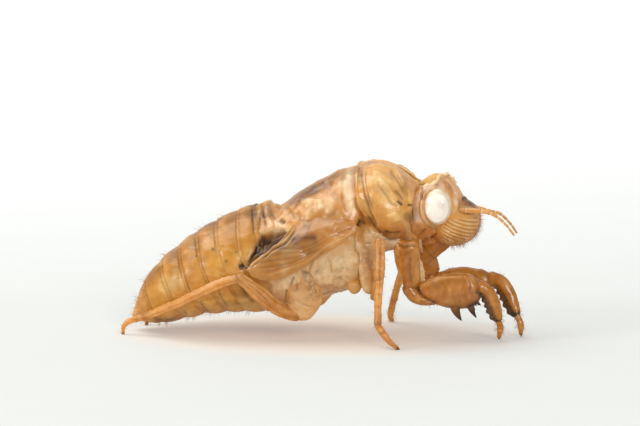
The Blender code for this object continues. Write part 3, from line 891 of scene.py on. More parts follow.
# ---------------------------------------------------------------------------------------------
# Materials
# ---------------------------------------------------------------------------------------------

def linear(red, green, blue):
    """A screen colour, 0 to 255 a channel, as the values that shaders take."""
    channel = np.array((red, green, blue)) / 255.0
    value = np.where(channel <= 0.04045, channel / 12.92, ((channel + 0.055) / 1.055) ** 2.4)
    return (*value.tolist(), 1.0)


class Graph:
    """Short calls for building one material's nodes."""

    def __init__(self, name):
        self.material = bpy.data.materials.new(name)
        self.material.use_nodes = True
        self.nodes = self.material.node_tree.nodes
        self.nodes.clear()
        self.coordinates = self.nodes.new("ShaderNodeTexCoord").outputs["Object"]

    def put(self, socket, value):
        """Link a node's output to the socket, or set the socket to a plain value."""
        if isinstance(value, bpy.types.NodeSocket):
            self.material.node_tree.links.new(value, socket)
        else:
            socket.default_value = value

    def noise(self, size, detail=4.0, stretch=(1.0, 1.0, 1.0)):
        """Noise with features about size mm across, from about 0.3 to 0.7."""
        mapping = self.nodes.new("ShaderNodeMapping")
        mapping.inputs["Scale"].default_value = stretch
        self.put(mapping.inputs["Vector"], self.coordinates)
        node = self.nodes.new("ShaderNodeTexNoise")
        node.inputs["Scale"].default_value = 1.0 / (size * MM)
        node.inputs["Detail"].default_value = detail
        self.put(node.inputs["Vector"], mapping.outputs["Vector"])
        return node.outputs["Fac"]

    def ranged(self, value, low, high, to_low=0.0, to_high=1.0):
        """The value's range low to high, brought to another range and held inside it."""
        node = self.nodes.new("ShaderNodeMapRange")
        self.put(node.inputs["Value"], value)
        node.inputs["From Min"].default_value = low
        node.inputs["From Max"].default_value = high
        node.inputs["To Min"].default_value = to_low
        node.inputs["To Max"].default_value = to_high
        return node.outputs["Result"]

    def math(self, operation, first, second):
        """One sum of two values."""
        node = self.nodes.new("ShaderNodeMath")
        node.operation = operation
        self.put(node.inputs[0], first)
        self.put(node.inputs[1], second)
        return node.outputs["Value"]

    def blend(self, factor, first, second):
        """A mix of two colours."""
        node = self.nodes.new("ShaderNodeMix")
        node.data_type = "RGBA"
        self.put(node.inputs["Factor"], factor)
        colours = [socket for socket in node.inputs if socket.type == "RGBA"]
        self.put(colours[0], first)
        self.put(colours[1], second)
        return [socket for socket in node.outputs if socket.type == "RGBA"][0]

    def tint(self, name):
        """A tint that the mesh carries."""
        node = self.nodes.new("ShaderNodeAttribute")
        node.attribute_name = name
        return node.outputs["Fac"]

    def bump(self, height, distance):
        """Surface unevenness of the given depth in mm."""
        node = self.nodes.new("ShaderNodeBump")
        node.inputs["Distance"].default_value = distance * MM
        self.put(node.inputs["Height"], height)
        return node.outputs["Normal"]

    def finish(self, shader):
        """Send the shader to the surface."""
        output = self.nodes.new("ShaderNodeOutputMaterial")
        self.put(output.inputs["Surface"], shader)
        return self.material


DIRT = (108, 82, 54)
HOLE_SHADE = (52, 28, 16)       # painted shade: the dark given deep in the gaps and holes between the skins
LIT_THROUGH = (255, 234, 176)       # what thin skin does to light that comes through it
LIT_THROUGH_SHARE = 0.65

# Sizes in mm of the unevenness in the skins' colour and surface.
CLOUD_SIZE = 2.6
FLECK_SIZE = 0.55
SPECK_SIZE = 0.13
GRAIN_SIZE = 0.15
WRINKLE_SIZES = (0.30, 0.09)


def skin_material(name, base, deep, pale, amber, through=0.55, roughness=0.34, coat=0.65,
                  bump=0.016, mottle=0.75):
    """Dry cast skin: mottled, stained and painted with shade and highlights by the tints, glossy,
    and letting light through.
    """
    graph = Graph(name)
    clouds = graph.ranged(graph.noise(CLOUD_SIZE, 5.0), 0.36, 0.66)
    flecks = graph.ranged(graph.noise(FLECK_SIZE, 6.0), 0.40, 0.68)
    specks = graph.ranged(graph.noise(SPECK_SIZE, 2.0), 0.64, 0.72)
    colour = graph.blend(graph.math("MULTIPLY", clouds, mottle), linear(*base), linear(*amber))
    colour = graph.blend(graph.math("MULTIPLY", flecks, 0.35 * mottle), colour, linear(*pale))
    colour = graph.blend(graph.math("MULTIPLY", specks, 0.30), colour, linear(*deep))
    uneven = graph.ranged(flecks, 0.0, 1.0, 0.75, 1.15)
    for tint, shade in (("amber", amber), ("pale", pale), ("dark", deep)):
        strength = graph.math("MULTIPLY", graph.tint(tint), uneven)
        colour = graph.blend(graph.math("MINIMUM", strength, 1.0), colour, linear(*shade))
    grains = graph.ranged(graph.noise(GRAIN_SIZE, 5.0), 0.44, 0.62, 0.15, 0.9)
    grime = graph.math("MULTIPLY", graph.tint("dirt"), grains)
    colour = graph.blend(grime, colour, linear(*DIRT))
    # painted shade in the gaps and holes
    colour = graph.blend(graph.tint("hole"), colour, linear(*HOLE_SHADE))
    rough = graph.ranged(flecks, 0.0, 1.0, roughness - 0.08, roughness + 0.12)
    rough = graph.math("ADD", rough, graph.math("MULTIPLY", graph.tint("dirt"), 0.3))
    coarse, fine = WRINKLE_SIZES
    wrinkles = graph.math("ADD", graph.noise(coarse, 5.0), graph.noise(fine, 2.0))
    normal = graph.bump(wrinkles, bump)
    shader = graph.nodes.new("ShaderNodeBsdfPrincipled")
    shader.inputs["Coat Weight"].default_value = coat
    shader.inputs["Coat Roughness"].default_value = 0.16
    shader.inputs["IOR"].default_value = 1.5
    graph.put(shader.inputs["Base Color"], colour)
    graph.put(shader.inputs["Roughness"], rough)
    graph.put(shader.inputs["Normal"], normal)
    glow = graph.nodes.new("ShaderNodeBsdfTranslucent")
    shut = graph.math("ADD", graph.tint("dark"), graph.tint("hole"))
    clear = graph.ranged(shut, 0.0, 1.0, LIT_THROUGH_SHARE, 0.05)
    graph.put(glow.inputs["Color"], graph.blend(clear, colour, linear(*LIT_THROUGH)))
    graph.put(glow.inputs["Normal"], normal)
    mixed = graph.nodes.new("ShaderNodeMixShader")
    mixed.inputs["Fac"].default_value = through
    graph.put(mixed.inputs[1], shader.outputs["BSDF"])
    graph.put(mixed.inputs[2], glow.outputs["BSDF"])
    return graph.finish(mixed.outputs["Shader"])


# Each kind of skin, named as the record's material slots: its base, deep, pale and amber
# colours, and where it differs from the usual skin.
SKINS = {
    "abdomen_skin": ((224, 168, 68), (98, 56, 18), (246, 216, 142), (200, 134, 36),
                     {"coat": 0.40}),
    "thorax_skin": ((236, 190, 112), (98, 54, 20), (254, 236, 196), (210, 144, 58), {}),
    "collar_skin": ((238, 188, 98), (98, 54, 16), (254, 232, 176), (206, 134, 42), {}),
    "head_skin": ((244, 200, 122), (100, 52, 18), (255, 246, 230), (216, 142, 50),
                  {"through": 0.64}),
    "face_skin": ((250, 194, 108), (108, 58, 16), (255, 232, 176), (214, 136, 46), {}),
    "eye_cap": ((255, 252, 244), (190, 156, 110), (255, 255, 252), (222, 186, 130),
                {"through": 0.25, "roughness": 0.18, "coat": 1.0, "bump": 0.004, "mottle": 0.2}),
    "antenna_skin": ((222, 160, 86), (116, 64, 22), (248, 228, 190), (200, 128, 50), {}),
    "wing_pad_skin": ((212, 150, 68), (84, 44, 22), (246, 214, 156), (184, 118, 40), {}),
    "digging_leg_skin": ((182, 102, 30), (44, 26, 14), (242, 192, 116), (200, 124, 20),
                         {"through": 0.45, "roughness": 0.26, "coat": 0.6, "bump": 0.010}),
    "walking_leg_skin": ((228, 166, 88), (112, 60, 22), (251, 222, 168), (206, 128, 48),
                         {"roughness": 0.32, "coat": 0.4}),
    "hair": ((190, 132, 66), (140, 86, 40), (214, 170, 108), (170, 108, 48), {"coat": 0.0}),
}


def make_skins():
    """The materials of all kinds of skin, by name."""
    return {name: skin_material(name, *colours, **unlike)
            for name, (*colours, unlike) in SKINS.items()}


# ---------------------------------------------------------------------------------------------
# Abdomen
# ---------------------------------------------------------------------------------------------

RING_FIRST = 2            # the rows where the rings start
RING_LAST = 8             # and end
RING_STEP = 0.11          # how far a ring's rear edge stands over the next ring, mm
RING_BAND = 0.17          # width of the orange rear border of a ring, as a share of the ring
RING_BULGE = 0.10         # how far the middle of a ring bulges
BORDER_DEPTH = 0.05       # depth of the groove along that border
FLANK_FOLD = 2.15         # the angle from the back of the fold along each flank
FLANK_FOLD_DEPTH = 0.10
LOBE_HEIGHT = 0.14        # how far the belly plates bulge

# Hairs: how many, length in mm, the way they are drawn, seed.
BACK_HAIRS = (150, 0.70, (-0.9, 0, 0.1), 301)
BELLY_HAIRS = (200, 0.45, (-0.2, 0, -0.3), 303)
TAIL_HAIRS = (50, 0.45, (-0.6, 0, 0.0), 305)

ABDOMEN_MARKS = [
    stain_and_shade(6, 0.26, (146, 278), (158, 264)),
    stain_and_shade(7, 0.26, (166, 264), (180, 249)),
    stain_and_shade(7, 0.26, (188, 250), (202, 238)),
    stain_and_shade(7, 0.26, (206, 234), (219, 223)),
    stain_and_shade(8, 0.26, (224, 226), (240, 212)),
    stain_and_shade(6, 0.25, (246, 210), (254, 222)),
    mark(1.6, (255, 202), (257, 205), height=0.12, dark=0.7),
    stain_and_shade(1.6, 0.8, (213, 249)),
    stain_and_shade(1.3, 0.8, (236, 252)),
    stain_and_shade(1.3, 0.7, (196, 256)),
    stain_and_shade(1.3, 0.7, (226, 261)),
    stain_and_shade(1.0, 0.6, (204, 268)),
    stain_and_shade(1.0, 0.6, (222, 246)),
    # a pit, with painted shade inside it
    mark(2.8, (239, 268), (244, 265), dark=0.95, hole=0.5, height=-0.15),
    pale_and_highlight(9, 0.7, (160, 292), (172, 284), (186, 280)),
    pale_and_highlight(7, 0.35, (206, 286), (222, 278)),
    groove(1.6, 0.12, 0.4, (240, 285), (248, 297), (255, 303)),
    groove(1.3, 0.08, 0.4, (217, 285), (221, 297), (228, 308)),
    groove(1.2, 0.08, 0.4, (200, 300), (203, 307), (210, 313)),
    groove(1.2, 0.06, 0.35, (180, 307), (187, 315)),
    pale_and_highlight(9, 0.6, (252, 288), (292, 284)),
    pale_and_highlight(6, 0.8, (236, 302), (256, 307), (280, 312)),
    pale_and_highlight(5, 0.5, (216, 296), (226, 300)),
    stain_and_shade(2.4, 0.45, (152, 318), (165, 320), (182, 317)),
    mark(3.0, (254, 203), (256, 218), (257, 234), dark=0.40, amber=0.5),
    groove(1.0, 0.07, 0.45, (251, 204), (253, 218), (254, 234)),
    # the hollow between the abdomen and the wing pads: painted shade
    mark(3.0, (264, 238), (260, 247), (255, 256), (249, 265), height=-0.15, dark=1.0, hole=0.5),
    stain_and_shade(2.0, 0.5, (258, 247), (253, 256), (247, 265)),
]


def make_abdomen(skins):
    """The abdomen's rings, each overlapping the next towards the tail, and the tail's tip."""
    rows = tucked(ABDOMEN, after=0.25, shrink=0.97)
    sheet, place, angle = body_sheet(rows, *GRIDS["abdomen"])
    share = place - np.floor(place)
    ringed = soft_step(place, RING_FIRST - 0.7, RING_FIRST)
    ringed = ringed * (1 - soft_step(place, RING_LAST - 0.05, RING_LAST))
    upper = soft_step(np.cos(angle), -0.75, -0.25)
    proud = RING_STEP * (1 - share) + RING_BULGE * np.sin(math.pi * share)
    border = bell(share - RING_BAND, 0.025)
    line = bell(share, 0.028) + bell(share - 1, 0.020)
    sheet.push(ringed * (proud - BORDER_DEPTH * border) * (0.35 + 0.65 * upper))
    band = soft_step(share, 0.01, 0.05) * (1 - soft_step(share, RING_BAND - 0.04, RING_BAND))
    worn = 0.75 + 0.35 * waves(sheet.points, 3.0, 9)
    sheet.tint("amber", 0.75 * band * ringed * worn)
    sheet.tint("dark", (0.48 * border + 0.60 * line) * ringed * (0.25 + 0.75 * upper) * worn)
    sheet.tint("amber", 0.5 * (border + line) * ringed * worn)
    flank = bell(np.abs(np.sin(angle)) - np.sin(FLANK_FOLD), 0.03) * (np.cos(angle) < 0)
    sheet.push(-FLANK_FOLD_DEPTH * flank * soft_step(place, 1.5, 3.0))
    lobes = soft_step(-np.cos(angle), 0.45, 0.75) * ringed
    sheet.push(LOBE_HEIGHT * lobes * np.sin(math.pi * share))
    sheet.tint("pale", 0.7 * lobes * np.sin(math.pi * share))
    back = soft_step(np.cos(angle), 0.15, 0.85) * ringed
    sheet.tint("amber", 0.5 * back)
    sheet.tint("dark", 0.22 * back * soft_step(share, 0.2, 0.9) * worn)
    sheet.crumple(FOLDS["abdomen"])
    sheet.apply(ABDOMEN_MARKS)
    make_piece(skins, "abdomen_skin", "abdomen_cast", [sheet], "abdomen", SKIN_THICKNESS)
    rears = soft_step(place, 0.6, 1.0) * (1 - soft_step(place, 7.0, 7.5)) * bell(share - 0.15, 0.20)
    tufts = [
        sprout(sheet, rears * soft_step(np.cos(angle), 0.1, 0.6), *BACK_HAIRS),
        sprout(sheet, rears * soft_step(-np.cos(angle), 0.6, 0.9), *BELLY_HAIRS),
        sprout(sheet, 1 - soft_step(place, 0.5, 2.5), *TAIL_HAIRS),
    ]
    make_hairs(skins, "abdomen_hairs", tufts)


# ---------------------------------------------------------------------------------------------
# Thorax, collar and head: the skins that the split opened
# ---------------------------------------------------------------------------------------------

WAIST_MARKS = [
    mark(1.0, (291, 229), (286, 231), (276, 231.5), (270, 230.5), (260, 236), step=0.22, reach=5,
         pale=0.8),
    # the hollow under the waist: painted shade
    mark(4.5, (256, 246), (266, 241), (276, 237), (287, 233), height=-0.55, hole=0.3, dark=0.6),
    mark(6.0, (252, 262), (262, 252), (276, 246), hole=0.35, dark=0.6, amber=0.8),
    ridge(2.6, 0.20, 0.3, (266, 201), (269, 203)),
    groove(2.6, 0.25, 0.2, (277, 205), (281, 208)),
    ridge(1.3, 0.10, 0.35, (266, 204), (268, 217), (274, 227)),
    groove(1.4, 0.10, 0.45, (270, 205), (273, 215), (279, 223)),
    ridge(1.3, 0.13, 0.55, (275, 213), (278, 224), (287, 229)),
    # a small hole, with painted shade inside it
    mark(1.5, (280, 219), (285, 223), height=-0.25, hole=0.9),
    mark(1.2, (286, 225), (290, 221), (294, 223), height=0.08, amber=0.6),
    mark(1.5, (263, 205), (265, 218), (267, 229), height=-0.08, dark=0.42, amber=0.5),
    mark(3.4, (259, 203), (260, 218), (261, 232), dark=0.36, amber=0.9),
    groove(1.6, 0.06, 0.30, (284, 206), (291, 213), (295, 221)),
]
THORAX_MARKS = WAIST_MARKS + [
    groove(0.9, 0.08, 0.30, (326, 255), (330, 264), (332, 273)),
    groove(1.1, 0.14, 0.45, (314, 258), (310, 268), (309, 273), (311, 278), (315, 284)),
    ridge(4.5, 0.14, 0.4, (318, 254), (322, 265), (324, 277)),
    groove(1.0, 0.08, 0.5, (300, 270), (306, 273), (309, 273)),
    groove(1.2, 0.14, 0.6, (294, 276), (291, 286), (293, 297)),
    groove(1.4, 0.14, 0.7, (286, 290), (290, 298)),
    mark(6, (284, 300), (292, 308), dirt=0.6),
    groove(1.0, 0.12, 0.45, (356, 232), (355, 248), (359, 256), (359, 272), (357, 283)),
    groove(0.9, 0.06, 0.14, (334, 262), (344, 257), (352, 259)),
    groove(0.9, 0.06, 0.12, (334, 272), (342, 268), (350, 270)),
    groove(0.9, 0.06, 0.10, (332, 281), (342, 277), (352, 280)),
    groove(0.9, 0.05, 0.10, (336, 252), (346, 249), (354, 251)),
    pale_and_highlight(15, 0.6, (340, 262)),
    pale_and_highlight(9, 0.3, (264, 285), (300, 282)),
    mark(1.8, (324, 293), (334, 289), (344, 286), height=0.10, amber=0.8),
    # a small hole, with painted shade inside it
    mark(2.6, (358, 226), (362, 220), height=-0.35, hole=1.0),
    pale_and_highlight(5.2, 1.0, (352, 163), (348, 178), (349, 192), (351, 205), (355, 217)),
    pale_and_highlight(3.0, 0.6, (344, 178), (342, 186), (346, 197)),
    mark(1.2, (345, 168), (342, 184), (342, 200), (347, 216), step=0.12, reach=8),
    groove(3, 0.10, 0.2, (313, 212)),
    mark(2.0, (330, 184), (338, 181), (346, 177), height=0.16, amber=0.4),
    # glossy bumps of the back, their paleness a painted highlight
    ridge(2.0, 0.18, 0.2, (303, 206), (314, 201), (324, 203)),
    ridge(1.5, 0.12, 0.5, (321, 204), (323, 208)),
    groove(3.0, 0.06, 0.25, (290, 208), (310, 195), (330, 183)),
    groove(3.0, 0.10, 0.2, (326, 190), (336, 196), (340, 206)),
    groove(1.2, 0.06, 0.3, (300, 224), (312, 221), (326, 220), (340, 221)),
    # painted highlights on the glossy bumps
    ridge(2.6, 0.10, 0.7, (300, 203), (308, 200), (313, 203)),
    ridge(2.2, 0.10, 0.9, (318, 200), (322, 203)),
    groove(2.6, 0.12, 0.35, (326, 217), (333, 214), (337, 208)),
    groove(2.4, 0.10, 0.35, (296, 212), (300, 219), (308, 222)),
    mark(2.0, (288, 215), (294, 208), (306, 198), (320, 189), amber=0.8),
    mark(3.2, (286, 206), (302, 196), (322, 184), (342, 173), dark=0.40, amber=0.6),
    # painted shade under the wing pad's upper edge
    stain_and_shade(4, 0.30, (305, 226), (312, 229)),
]

WAIST_HIDDEN = (-6.60, 10.30, -4.10, 3.40, 4.40)   # where the waist ends, inside the abdomen


def thorax_opening(places):
    """The split above the thorax: nearly shut."""
    gap = 0.004 + 0.014 * soft_step(places, 1.9, 4.2)
    return gap, gap


LIP_WIDTH = 0.30          # width of the curled lips of the split, mm


def split_lips(sheet, place, seed, curl, pale_width):
    """Curl the torn edges of the split outward by curl mm and leave them pale. Returns each
    point's distance from the nearer lip in mm."""
    columns = sheet.points.shape[1]
    spacing = np.linalg.norm(np.diff(sheet.points, axis=1), axis=2).mean()
    steps = np.minimum(np.arange(columns), columns - 1 - np.arange(columns))
    edge = (steps * spacing)[None, :] * np.ones_like(place)
    uneven = 0.7 + 0.4 * waves(sheet.points, 2.6, seed)
    sheet.push(curl * np.exp(-edge / LIP_WIDTH) * uneven)
    sheet.tint("pale", 0.9 * np.exp(-edge / pale_width))
    return edge


THROAT_MARKS = [
    # a small hole, with painted shade inside it
    mark(2.6, (359, 225), (362, 220), height=-0.25, hole=1.0),
    groove(1.2, 0.14, 0.7, (359, 226), (356, 236), (355, 243), (359, 250)),
    groove(1.0, 0.10, 0.5, (355, 243), (364, 243.5), (373, 243)),
    groove(1.2, 0.08, 0.3, (366, 226), (371, 234), (377, 241)),
    mark(6, (364, 234), height=0.16, pale=0.35, amber=0.15),
    mark(4, (364, 248), height=0.08, dark=0.15, amber=0.3),
    pale_and_highlight(3, 0.6, (372, 250), (373, 262), (374, 274)),
    pale_and_highlight(3, 0.7, (382, 241), (390, 241), (397, 244)),
    groove(1.2, 0.10, 0.4, (376, 237), (386, 240), (398, 240)),
]

# The pale skin that hangs in front of the right foreleg's root: upper edge x, out, z, lower
# edge x, out, z, half thickness.
MEMBRANE = [
    (9.00, 3.00, 8.20, 8.60, 3.05, 7.90, 0.10),
    (9.50, 2.95, 6.60, 8.80, 3.05, 6.60, 0.12),
    (9.62, 2.95, 5.70, 8.90, 3.05, 5.50, 0.12),
    (9.35, 3.00, 4.70, 9.00, 3.05, 4.75, 0.06),
]

KNOB_CENTRE = np.array((3.40, 3.40, 4.95))
KNOB_RADII = (0.66, 0.75, 0.70)


def knob(side):
    """The small swollen plate above a middle leg."""
    sheet, _ = ball_sheet(KNOB_CENTRE * (1, side, 1), KNOB_RADII, 0.0, *GRIDS["knob"])
    sheet.crumple(FOLDS["knob"])
    sheet.tint("amber", 0.2)
    sheet.tint("dark", 0.12)
    return sheet


def make_thorax(skins):
    """The back and flanks of the middle body, split along the back."""
    rows = [np.array(WAIST_HIDDEN)] + tucked(THORAX, after=0.4)
    sheet, place, angle = body_sheet(rows, *GRIDS["thorax"], thorax_opening, fullness=2.5)
    place = place - 1
    split_lips(sheet, place, 31, curl=0.05, pale_width=0.06)
    sheet.crumple(FOLDS["thorax"])
    flanks = soft_step(-np.cos(angle), 0.0, 0.4)
    sheet.crumple(FOLDS["flanks"], flanks)
    sheet.tint("pale", 0.45 * flanks)
    sheet.tint("amber", 0.5 * (1 - flanks))
    sheet.tint("dark", 0.25 * bell(np.cos(angle) - 0.93, 0.10) * soft_step(place, 0.9, 1.6))
    waist = 1 - soft_step(place, 0.1, 1.3)
    sheet.crumple(FOLDS["waist"], waist * (1 - flanks))
    sheet.apply(THORAX_MARKS)
    make_piece(skins, "thorax_skin", "thorax_cast", [sheet], "thorax", SKIN_THICKNESS)


def make_thorax_plates(skins):
    """The skin under the collar, the fold at the right foreleg's root, and the small plates
    above the middle legs."""
    throat, _, angle = body_sheet(THROAT, *GRIDS["throat"], fullness=3.0)
    throat.crumple(FOLDS["throat"])
    throat.tint("pale", 0.40 * soft_step(-np.cos(angle), -0.4, 0.0))
    throat.apply(THROAT_MARKS)
    fold, _, _ = leaf_sheet(MEMBRANE, SIDES["right"], *GRIDS["membrane"])
    fold.crumple(FOLDS["membrane"])
    fold.tint("pale", 0.7)
    plates = [throat, fold] + [knob(side) for side in SIDES.values()]
    make_piece(skins, "thorax_skin", "thorax_plates", plates)


PRONOTUM_MARKS = [
    groove(1.0, 0.08, 0.5, (364, 164), (362, 170), (362, 180), (364, 192), (368, 204), (371, 214),
           (377, 225)),
    groove(0.8, 0.05, 0.3, (367, 166), (366, 180), (368, 192), (371, 203), (375, 213)),
    ridge(1.8, 0.14, 0.2, (379, 178), (388, 187), (395, 198), (402, 204)),
    groove(1.2, 0.08, 0.30, (377, 183), (386, 194), (391, 202), (399, 207)),
    ridge(1.8, 0.14, 0.15, (394, 167), (404, 181), (409, 192), (411, 201)),
    groove(1.2, 0.08, 0.25, (390, 169), (400, 184), (405, 196)),
    # two slits, with painted shade inside them
    mark(1.1, (397, 201), (400, 203), (403, 205), height=-0.16, dark=0.8, hole=0.4),
    mark(1.0, (408, 204), (412, 206), height=-0.16, dark=0.8, hole=0.4),
    ridge(6, 0.26, 0.25, (393, 212), (397, 222)),
    groove(4.0, 0.10, 0.40, (369, 216), (370, 223), (376, 228)),
    mark(4.0, (405, 212), (411, 222), (413, 231), height=-0.12, dark=0.35, dirt=0.3),
    groove(0.9, 0.10, 0.5, (384, 231), (392, 233), (401, 232)),
    mark(1.4, (374, 231), (384, 236), (396, 237), (406, 231), height=0.10, amber=0.6),
    mark(1.2, (418, 186), (413, 200), (411, 213), (411, 226), height=0.10, dark=0.4),
    mark(2.6, (416, 196), (418, 189), (420, 183), height=0.10, dark=0.6),
    stain_and_shade(2.2, 0.6, (359, 166), (359, 176), (360, 184)),
    mark(2.0, (364, 172), (365, 190), (370, 208), amber=0.6),
    # a small hole, with painted shade inside it
    mark(2.4, (359, 225), (363, 219), height=-0.20, hole=1.0),
    pale_and_highlight(7.0, 0.5, (376, 170), (382, 190), (388, 206)),
    mark(3.6, (372, 226), (384, 232), (398, 235), (408, 230), dark=0.22, amber=0.6),
    mark(3.0, (398, 172), (404, 184), (408, 198), dark=0.30, amber=0.4),
    groove(1.4, 0.10, 0.5, (395, 190), (401, 196), (404, 200)),
    pale_and_highlight(0.9, 0.9, (404, 168.5), (413, 175.5), (421, 181.5)),
]


def collar_opening(places):
    """The split above the collar, opening towards the head."""
    widening = soft_step(places, 1.8, 4.0)
    return 0.018 + 0.03 * widening, 0.018 + 0.22 * widening


REAR_CORNER_TOP = 12.6    # the collar's rear edge is cut away forwards below this height,
REAR_CORNER_FALL = 3.4    # more and more over this height,
REAR_CORNER_CUT = 1.7     # up to this far
COLLAR_RIDGE = 0.10       # height of the ridge in front of the collar's rear edge,
COLLAR_REAR_EDGE = 0.14   # of that edge
COLLAR_FRONT_EDGE = 0.08  # and of the front edge


def make_pronotum(skins):
    """The collar: its rear edge overlaps the body behind it."""
    sheet, place, angle = body_sheet(PRONOTUM, *GRIDS["pronotum"], collar_opening, fullness=2.8)
    front = len(PRONOTUM) - 1
    cut = soft_step(REAR_CORNER_TOP - sheet.points[..., 2], 0.0, REAR_CORNER_FALL)
    sheet.points[..., 0] += REAR_CORNER_CUT * cut * (1 - place / front) ** 2
    split_lips(sheet, place, 53, curl=0.05, pale_width=0.08)
    sheet.push(COLLAR_RIDGE * bell(place - 0.16, 0.10) + COLLAR_REAR_EDGE * bell(place, 0.12)
               + COLLAR_FRONT_EDGE * bell(place - front, 0.2))
    sheet.tint("dark", 0.5 * bell(place - 0.03, 0.03))
    sheet.crumple(FOLDS["pronotum"])
    # the pale on top is painted light from above and the dark low down painted shade
    sheet.tint("pale", 0.20 * soft_step(np.cos(angle), 0.2, 0.7))
    sheet.tint("amber", 0.75 * soft_step(-np.cos(angle), -0.1, 0.6))
    sheet.tint("dark", 0.15 * soft_step(-np.cos(angle), 0.3, 0.9))
    sheet.apply(PRONOTUM_MARKS)
    make_piece(skins, "collar_skin", "pronotum_cast", [sheet], "pronotum", SKIN_THICKNESS)


HEAD_MARKS = [
    pale_and_highlight(4.6, 1.0, (416, 192), (415, 208), (417, 224)),
    groove(0.9, 0.08, 0.5, (412, 190), (411, 204), (413, 222)),
    groove(1.2, 0.15, 0.5, (421.5, 186), (421.5, 200)),
    ridge(1.0, 0.06, 0.9, (446, 178), (451, 184), (455, 191), (459, 199)),
    ridge(1.0, 0.06, 0.4, (441, 186), (447, 193), (451, 202)),
    mark(2.2, (444, 182), (450, 189), (454, 197), amber=0.8),
    pale_and_highlight(2.2, 0.9, (456, 203)),
    mark(1.8, (454, 197.5), amber=0.9),
    mark(1.8, (424, 189), (432, 187), (440, 188), amber=0.4),
    mark(5.0, (418, 228), (424, 240), (428, 246), amber=0.9, dark=0.15),
    groove(1.6, 0.15, 0.8, (432, 236), (433, 239)),
    mark(2.0, (424, 224), (432, 231), (442, 230), (450, 220), height=0.14, amber=0.5),
    mark(5.0, (430, 240), (440, 236), (448, 232), amber=0.5),
    pale_and_highlight(2.6, 0.6, (424, 190), (430, 187), (438, 187), (444, 191)),
    groove(1.2, 0.10, 0.5, (420, 235), (427, 228)),
]


def head_opening(places):
    """The split above the head: the right lip is torn far down, and it closes at the front."""
    left = 0.04 * (1 - soft_step(places, 2.2, 3.2)) + 0.004
    right = 0.10 + 0.56 * soft_step(places, 0.3, 1.6) * (1 - soft_step(places, 2.3, 3.15))
    right *= 1 - soft_step(places, 3.0, 3.3)
    return left, right + 0.004


def head_squeeze(places):
    """How much narrower the lower half of the head is: it draws in under the eyes."""
    return 0.10 + 0.42 * soft_step(places, 1.0, 3.2)


LIP_ROLL = (0.7, 3.1)     # the stretch of the head where the torn right lip is rolled up
LIP_ROLL_STEP = 6         # the roll has a station at every so many rows of the head's sheet
LIP_RADIUS = 0.13
TORN_CORNER = 2.1         # the place of the lip's torn corner,
TORN_CORNER_HEIGHT = 0.40           # and how far it stands out, mm
EYE_RING_HEIGHT = 0.22    # height of the swollen ring round each eye


def make_head(skins):
    """The head capsule, with a neck skin behind it and a ring round each eye."""
    sheet, place, angle = body_sheet(tucked(HEAD, before=1.1), *GRIDS["head"], head_opening,
                                     head_squeeze)
    place = place - 1
    edge = split_lips(sheet, place, 67, curl=0.20, pale_width=0.42)
    torn_corner = bell(place - TORN_CORNER, 0.16) * (angle > math.pi)
    sheet.push(TORN_CORNER_HEIGHT * torn_corner * np.exp(-edge / LIP_WIDTH))
    sheet.crumple(FOLDS["head"])
    near_eye = sheet.points - EYE_CENTRE
    reach = np.hypot(near_eye[..., 0] / EYE_RADII[0], near_eye[..., 2] / EYE_RADII[2])
    on_flank = soft_step(np.abs(np.sin(angle)), 0.45, 0.75)
    # painted light: the inside of the far lip, turned away from the lamps, is painted paler and more
    # amber as if lit through
    painted_glow_far_inside = bell(angle - 0.6, 0.6) * soft_step(place, -0.3, 0.2)
    painted_glow_far_inside = painted_glow_far_inside * (1 - soft_step(place, 2.4, 2.9))
    sheet.tint("amber", 0.9 * painted_glow_far_inside)
    sheet.tint("pale", 0.8 * painted_glow_far_inside)
    sheet.push(EYE_RING_HEIGHT * bell(reach - 1.15, 0.11) * on_flank)
    sheet.tint("pale", 0.25 * bell(reach - 1.08, 0.06) * on_flank)
    sheet.tint("dark", 0.35 * bell(reach - 1.30, 0.05) * on_flank)
    sheet.tint("amber", 0.8 * soft_step(-np.cos(angle), 0.1, 0.6))
    sheet.apply(HEAD_MARKS)
    torn = sheet.points[(place[:, 0] > LIP_ROLL[0]) & (place[:, 0] < LIP_ROLL[1]), -1]
    rows = [(x, -y, z, LIP_RADIUS, LIP_RADIUS) for x, y, z in torn[::LIP_ROLL_STEP]]
    roll, _, _ = limb_sheet(rows, SIDES["right"], *GRIDS["lip_roll"], rim=0.0)
    roll.crumple(FOLDS["lip_roll"])
    roll.tint("pale", 1.0)
    make_piece(skins, "head_skin", "head_cast", [sheet, roll], "head", SKIN_THICKNESS)


# ---------------------------------------------------------------------------------------------
# Face, eyes, beak and feelers
# ---------------------------------------------------------------------------------------------

FACE_RIDGE_PITCH = 0.36
FACE_RIDGE_HEIGHT = 0.070
FACE_RIDGE_FALL = 0.52    # how far the ridges fall for each unit towards the front,
FACE_RIDGE_BEND = 0.08    # and how they curve
FACE_BAND_HEIGHT = 0.05   # how far the smooth middle band stands out

# Hairs: how many, length in mm, the way they are drawn, seed.
CHIN_HAIRS = (340, 0.45, (0.25, 0, -0.5), 311)
FRONT_HAIRS = (170, 0.38, (0.4, 0, 0.1), 313)

